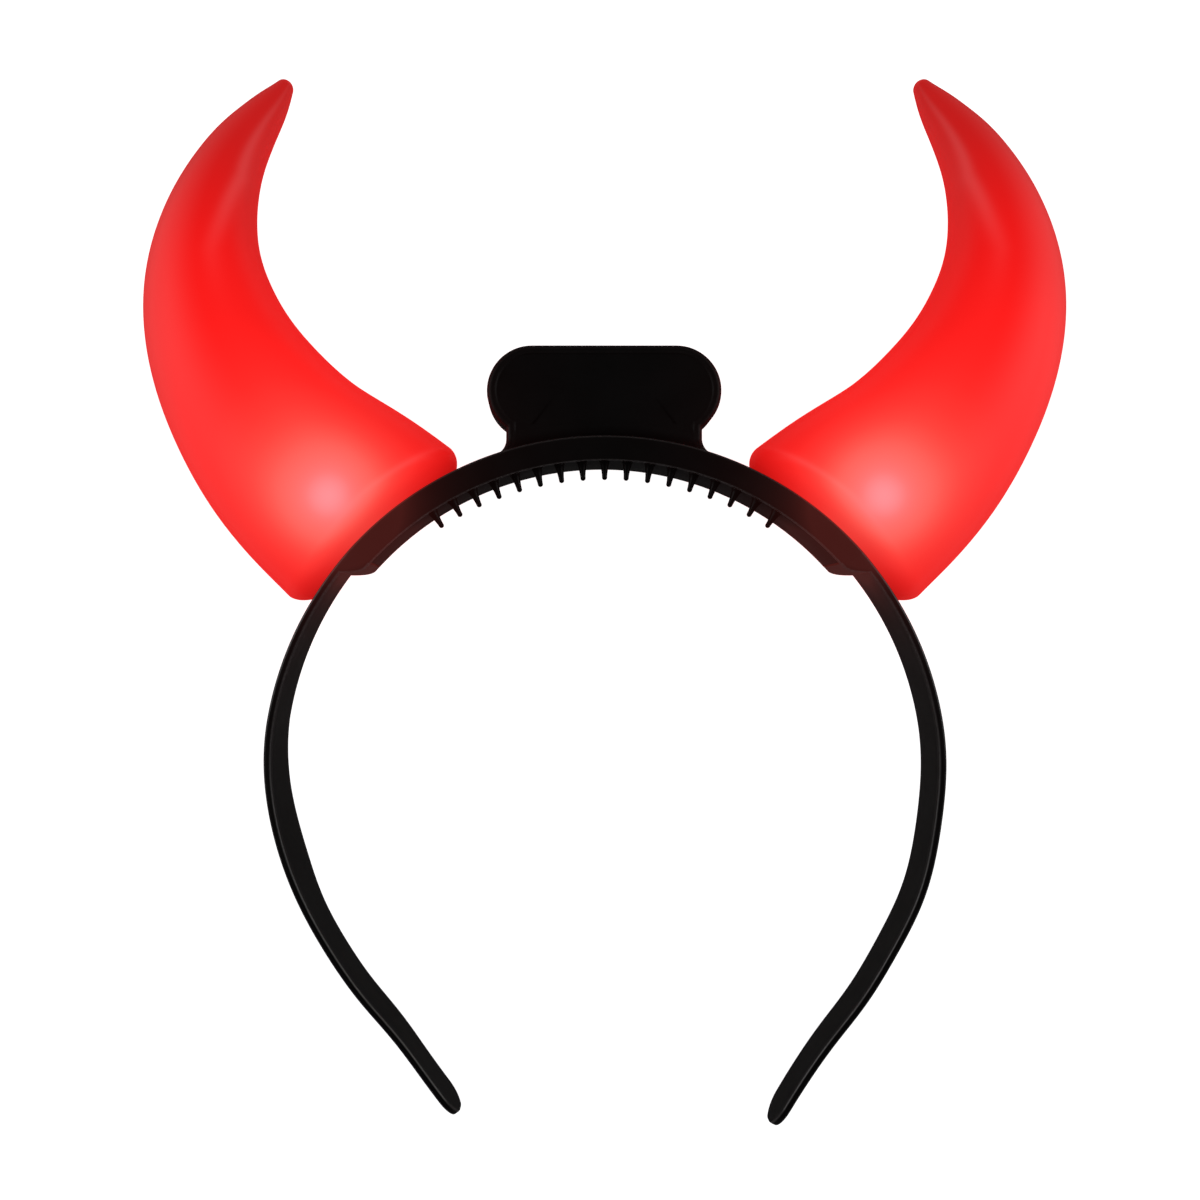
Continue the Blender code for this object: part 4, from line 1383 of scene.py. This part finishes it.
@dataclass
class Studio:
    """The pale table, the soft lights on both sides, and the camera over the headband.

    The camera's place is in the worn headband's axes: it looks straight at the front. Its lens
    and shift are those of the photograph's framing.
    """

    worn: WornFrame
    camera_place: tuple[float, float, float] = (-11.4 * MM, 28.34 * MM, 269.0 * MM)
    lens: float = 40.62
    shift: tuple[float, float] = (0.045, 0.0275)
    table_side: float = 4.0
    table_drop: float = 0.2 * MM
    box_place: tuple[float, float, float] = (0.47, 0.10, 0.37)
    box_size: tuple[float, float] = (0.36, 0.32)
    box_power: float = 0.48
    aim: tuple[float, float, float] = (0.0, 0.03, 0.01)
    ambient: float = 0.032

    def build(self) -> None:
        """Set up the table, the lights and the camera."""
        self.table()
        for side in Side:
            self.softbox(side)
        self.surroundings()
        self.camera()

    def table(self) -> None:
        """A lit sheet just under the headband, which the headband itself doesn't mirror."""
        half = self.table_side / 2
        corners = [(-half, -half), (half, -half), (half, half), (-half, half)]
        mesh = bpy.data.meshes.new("opal_table")
        mesh.from_pydata([(x, y, -self.table_drop) for x, y in corners], [], [(0, 1, 2, 3)])
        mesh.materials.append(OpalTable().dress())
        table = bpy.data.objects.new("opal_table", mesh)
        table.visible_glossy = False
        bpy.context.scene.collection.objects.link(table)

    def softbox(self, side: Side) -> None:
        """A large soft light on one side, turned towards the headband."""
        name = "softbox_" + side.word
        light = bpy.data.lights.new(name, "AREA")
        light.shape = "RECTANGLE"
        light.size, light.size_y = self.box_size
        light.energy = self.box_power
        box = bpy.data.objects.new(name, light)
        bpy.context.scene.collection.objects.link(box)
        place = np.array(self.box_place) * (side.value, 1.0, 1.0)
        towards = np.array(self.aim) - place
        box.location = place
        box.rotation_euler = (0.0, math.atan2(-towards[0], -towards[2]), 0.0)

    def surroundings(self) -> None:
        """A dim even light from all around."""
        world = bpy.data.worlds.new("dim_room")
        world.use_nodes = True
        background = world.node_tree.nodes["Background"]
        background.inputs["Color"].default_value = (1.0, 1.0, 1.0, 1.0)
        background.inputs["Strength"].default_value = self.ambient
        bpy.context.scene.world = world

    def camera(self) -> None:
        """The camera, level with the headband's own axes."""
        data = bpy.data.cameras.new("camera")
        data.lens = self.lens
        data.shift_x, data.shift_y = self.shift
        camera = bpy.data.objects.new("camera", data)
        camera.location = self.worn.place(np.array(self.camera_place))
        camera.rotation_euler = (self.worn.tilt, 0.0, 0.0)
        bpy.context.scene.collection.objects.link(camera)
        bpy.context.scene.camera = camera
        bpy.context.scene.view_settings.view_transform = "Standard"


def main() -> None:
    """Build and dress the headband, and set it in the studio."""
    logging.basicConfig(level=logging.INFO, format="%(name)s: %(message)s")
    band = CrownBand()
    case = UprightCase(band)
    face_centre = (0.0, band.radius + case.rise / 2, case.depth / 2)
    worn = WornFrame.from_mount(frame["record"], "case_front", face_centre)
    shop = Workshop(worn)

    lamps = [Lamp(band, side) for side in Side]
    glows = tuple(lamp.glow(worn) for lamp in lamps)

    # Each finish's lighter edge colour is partly worn plastic and partly a painted highlight; its red
    # shine is a painted glow
    moulded = BlackAbs("glossy_black_moulded_abs", glows, face="#120F0F", rubbed_and_highlight="#5C5656",
                       edge_wear_and_highlight_share=(0.3, 0.6), shine_strength=0.056, specular=(0.27, 1.0))
    band.build(shop, moulded, lamps[0].angle)
    case.build(shop, BlackAbs("satin_black_case_abs", glows, roughness=(0.45, 0.58), specular=(0.2, 0.2)))
    comb = BlackAbs("black_comb_abs", glows, face="#070606", roughness=(0.36, 0.48), specular=(0.16, 0.16),
                    shine_strength=0.035)
    CombStrip(band).build(shop, comb)
    red = LitRedPlastic("lit_translucent_red_plastic", glows).dress()
    resin = LampResin().dress()
    for side in Side:
        Horn(band, side).build(shop, red)
    for lamp in lamps:
        lamp.build(shop, resin)
    Studio(worn).build()


if __name__ == "__main__":
    main()
